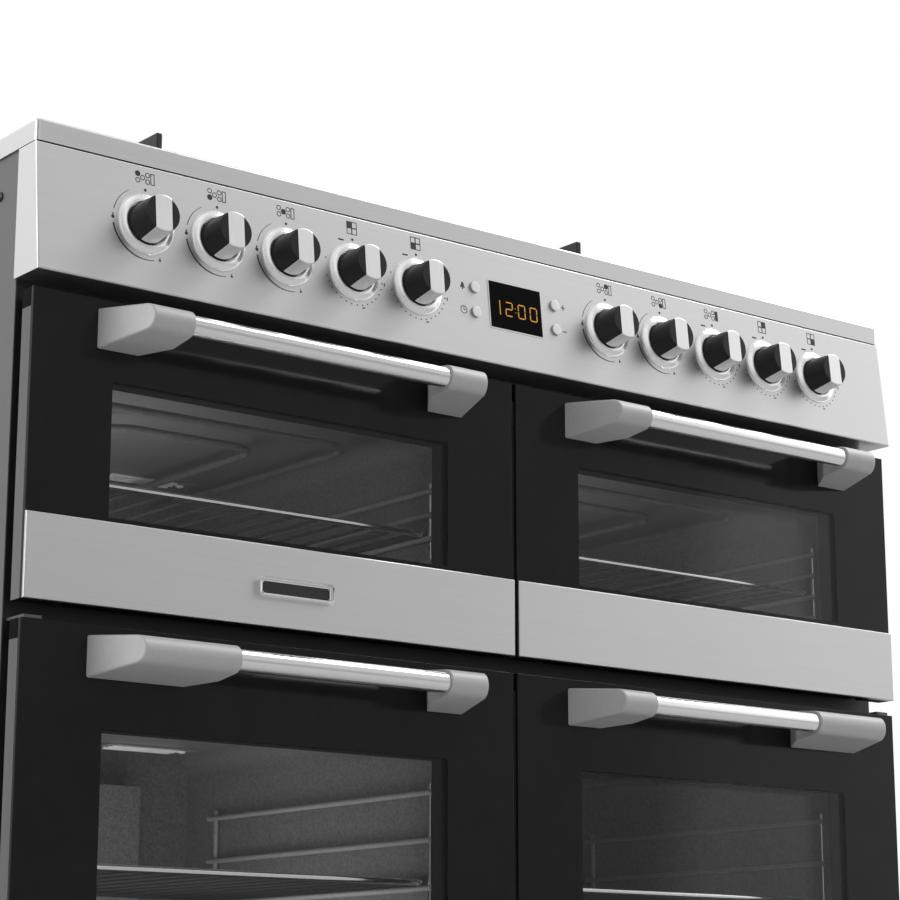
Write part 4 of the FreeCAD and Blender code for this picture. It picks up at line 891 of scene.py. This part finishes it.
button_silver = finish("button lacquer", (0.96, 0.96, 0.96), metal=0.25, rough=0.3, grain=600, tone=0.03)
# Painted shade: the caps' sides are darker grey for the shade on them and the shadow beside them.
button_side_painted_shade = finish("button side", (0.38, 0.38, 0.38), metal=0.3, rough=0.4, grain=600, tone=0.05)
cap_master = turned("button_master", BUTTON_PROFILE, sides=48)
for node, place in BUTTONS.items():
    piece = copy_of(cap_master, "cap_of_" + node, on_panel(*place))
    own(piece, node, "button_silver", button_silver, button_side_painted_shade)
    paint(piece, lambda face: abs(face.normal @ PANEL_FACE) < SIDE_TILT)
    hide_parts(node)
bpy.data.objects.remove(cap_master)
signs = [bar_shape(SIGN_RIGHT, y, SIGN_LONG, SIGN_LINE) for y in (BUTTON_HIGH, BUTTON_LOW)]
for rise in (PLUS_ARM_AT, -PLUS_ARM_AT):
    signs.append(bar_shape(SIGN_RIGHT, BUTTON_HIGH + rise, SIGN_LINE, PLUS_ARM))
signs += hoop(SIGN_LEFT, BUTTON_LOW, FACE_RADIUS, FACE_LINE)
signs.append(bar_shape(SIGN_LEFT, BUTTON_LOW + HAND_UP / 2, FACE_LINE, HAND_UP))
signs.append(bar_shape(SIGN_LEFT + HAND_SHIFT, BUTTON_LOW, HAND_ACROSS, FACE_LINE))
signs.append([(SIGN_LEFT + x, BUTTON_HIGH + y) for x, y in BELL])
signs.append(disc(SIGN_LEFT, BUTTON_HIGH - CLAPPER_DROP, CLAPPER_RADIUS, SMALL_SIDES))
printed("button_signs", signs, ink, "black_plastic")

# Hob: one pressed sheet of brushed stainless steel with a sunk pan and a rounded rim.
# It closes the cooker's top and carries the burners, the hot zone and the pan supports.
eased("hob_tray", "hob_pressing", steel)

# Burners: die-cast crowns that the gas comes up through, under loose enamelled caps.
# The crowns sit in holes in the hob's pan, and the caps lie on them by their own weight.
CROWN_EDGE = 0.6 * MM
casting = finish("burner casting", (0.36, 0.36, 0.365), metal=0.9, rough=0.42, grain=250, tone=0.12,
                 polish=0.08)
cap_enamel = finish("cap enamel", (0.014, 0.014, 0.015), rough=0.38, grain=350, tone=0.3, height=0.1)
eased("burner_bodies", "burner_crowns", casting, edge=CROWN_EDGE)
eased("burner_caps", "burner_lids", cap_enamel)

# Hot zone: a flat strip of black glass ceramic, set on the hob beside the burners.
# It lies over an opening in the hob's pan, and its edges are ground round.
CERAMIC_EDGE = 1.2 * MM
ceramic = gloss_black("black glass ceramic", (0.008, 0.008, 0.009), 0.07)
eased("hot_zone_glass", "hot_zone_plate", ceramic, edge=CERAMIC_EDGE, segments=3)

# Pan supports: black enamelled iron castings with fingers towards each burner.
# They stand loose on the hob and lift off for cleaning.
IRON_EDGE = 1.4 * MM
iron = finish("cast iron", (0.016, 0.016, 0.017), rough=0.55, grain=420, tone=0.35, polish=0.1, height=0.5,
              detail=5.0)
eased("pan_supports", "pan_support_castings", iron, edge=IRON_EDGE, segments=3)

# Studio: a plain pale floor, a large soft lamp from the upper right and a weaker one from the left.
# A weak lamp in each oven lights its inside and isn't seen itself. Powers are in watts.
FLOOR_SIZE = 40
FLOOR_DROP = 0.3 * MM
KEY_LAMP = {"place": (2.3, -0.9, 3.6), "target": (0, -0.2, 0.7), "size": 1.3, "power": 50}
LEFT_LAMP = {"place": (-3.2, 0.6, 1.8), "target": (0, 0, 0.6), "size": 2.0, "power": 40}
OVEN_LAMPS = (("upper left", -0.33, 0.56, 0.95), ("upper right", 0.16, 0.56, 0.62),
              ("lower left", -0.26, 0.25, 0.85), ("lower right", 0.20, 0.25, 0.03))
OVEN_LAMP_Y = -0.05
OVEN_LAMP_SIZE = 0.28
OVEN_LAMP_AIM = Vector((0.3, 0.02, 1))
floor_white = finish("studio floor", (0.62, 0.62, 0.62), rough=0.8, grain=3, tone=0.01)
bpy.ops.object.select_all(action="DESELECT")
bpy.ops.mesh.primitive_plane_add(size=FLOOR_SIZE, location=(0, 0, -FLOOR_DROP))
floor = bpy.context.view_layer.objects.active
floor.name = "studio_floor"
dress(floor, floor_white)


def lamp(name, place, target, size, power):
    """Square soft lamp that faces a point."""
    light = bpy.data.lights.new(name, "AREA")
    light.shape = "SQUARE"
    light.size = size
    light.energy = power
    holder = bpy.data.objects.new(name, light)
    bpy.context.scene.collection.objects.link(holder)
    holder.location = place
    holder.rotation_euler = (Vector(target) - Vector(place)).to_track_quat("-Z", "Y").to_euler()
    return holder


lamp("key lamp", **KEY_LAMP)
lamp("left lamp", **LEFT_LAMP)
for which, x, z, power in OVEN_LAMPS:
    place = Vector((x, OVEN_LAMP_Y, z))
    inside = lamp("oven lamp " + which, place, place + OVEN_LAMP_AIM, OVEN_LAMP_SIZE, power)
    inside.visible_camera = False
    inside.visible_glossy = False

# Surround: white where it is looked at, and an even soft light on everything else.
# What metal and glass mirror is a studio with lighter and darker sides.
# Each step is a (place, level) along one axis of the direction, from 0 at its negative end to 1.
SOFT_LEVEL = 0.55
WHITE = 1.0
ACROSS_STEPS = [(0.0, 0.5), (0.2, 0.5), (0.42, 1.35), (0.52, 1.1), (0.62, 0.74), (0.70, 0.66), (0.745, 0.67),
                (0.80, 0.78), (0.839, 0.84), (0.848, 1.68), (0.95, 1.68)]
UP_STEPS = [(0.0, 0.5), (0.5, 0.5), (0.6, 0.66), (0.66, 0.8), (0.75, 0.8), (0.88, 0.72), (1.0, 0.65)]
BACK_STEPS = [(0.0, 1.0), (0.27, 1.0), (0.42, 1.6), (1.0, 1.6)]
world = bpy.data.worlds.new("studio surround")
bpy.context.scene.world = world
world.use_nodes = True
tree = world.node_tree
background = tree.nodes["Background"]
background.inputs["Color"].default_value = (1, 1, 1, 1)
path = tree.nodes.new("ShaderNodeLightPath")
heading = tree.nodes.new("ShaderNodeTexCoord")
parts = tree.nodes.new("ShaderNodeSeparateXYZ")
tree.links.new(heading.outputs["Generated"], parts.inputs["Vector"])


def shade(axis, steps):
    """Level of the surround, ramped along one axis of the direction."""
    ramp = tree.nodes.new("ShaderNodeValToRGB")
    ramp.color_ramp.elements.remove(ramp.color_ramp.elements[1])
    for index, (place, value) in enumerate(steps):
        step = ramp.color_ramp.elements[0] if index == 0 else ramp.color_ramp.elements.new(place)
        step.position = place
        step.color = (value, value, value, 1)
    spread = tree.nodes.new("ShaderNodeMapRange")
    spread.inputs["From Min"].default_value = -1.0
    tree.links.new(parts.outputs[axis], spread.inputs["Value"])
    tree.links.new(spread.outputs["Result"], ramp.inputs["Fac"])
    return ramp.outputs["Color"]


def join(ends, values):
    """Feeds a node's inputs, each with a plain level or with what another node gives."""
    for end, value in zip(ends, values):
        if isinstance(value, float):
            end.default_value = value
        else:
            tree.links.new(value, end)


def combined(operation, first, second):
    """Two levels worked into one."""
    node = tree.nodes.new("ShaderNodeMath")
    node.operation = operation
    join(node.inputs, (first, second))
    return node.outputs["Value"]


def chosen(share, first, second):
    """The first level, or the second where the share is one."""
    node = tree.nodes.new("ShaderNodeMix")
    join((node.inputs["Factor"], node.inputs["A"], node.inputs["B"]), (share, first, second))
    return node.outputs["Result"]


across_and_up = combined("MULTIPLY", shade("X", ACROSS_STEPS), shade("Z", UP_STEPS))
mirrored = combined("MULTIPLY", across_and_up, shade("Y", BACK_STEPS))
level = chosen(path.outputs["Is Glossy Ray"], SOFT_LEVEL, mirrored)
seen = combined("MAXIMUM", path.outputs["Is Camera Ray"], path.outputs["Is Transmission Ray"])
tree.links.new(chosen(seen, level, WHITE), background.inputs["Strength"])

# Camera: low, a little to the left, and looking up at the control panel, as in the photograph.
# Its place and lens are fitted to the photograph's straight edges. Angles are in degrees.
CAMERA_AT = (-1.41227, -1.96528, 0.17505)
CAMERA_TURN = 38.273
CAMERA_TILT = 13.245
CAMERA_LENS = 99.136
CAMERA_SENSOR = 36
camera = bpy.data.cameras.new("camera")
camera.lens = CAMERA_LENS
camera.sensor_width = CAMERA_SENSOR
holder = bpy.data.objects.new("camera", camera)
bpy.context.scene.collection.objects.link(holder)
holder.location = CAMERA_AT
holder.rotation_euler = (math.radians(90 + CAMERA_TILT), 0, math.radians(-CAMERA_TURN))
bpy.context.scene.camera = holder
bpy.context.scene.view_settings.view_transform = "Standard"

bpy.context.view_layer.update()
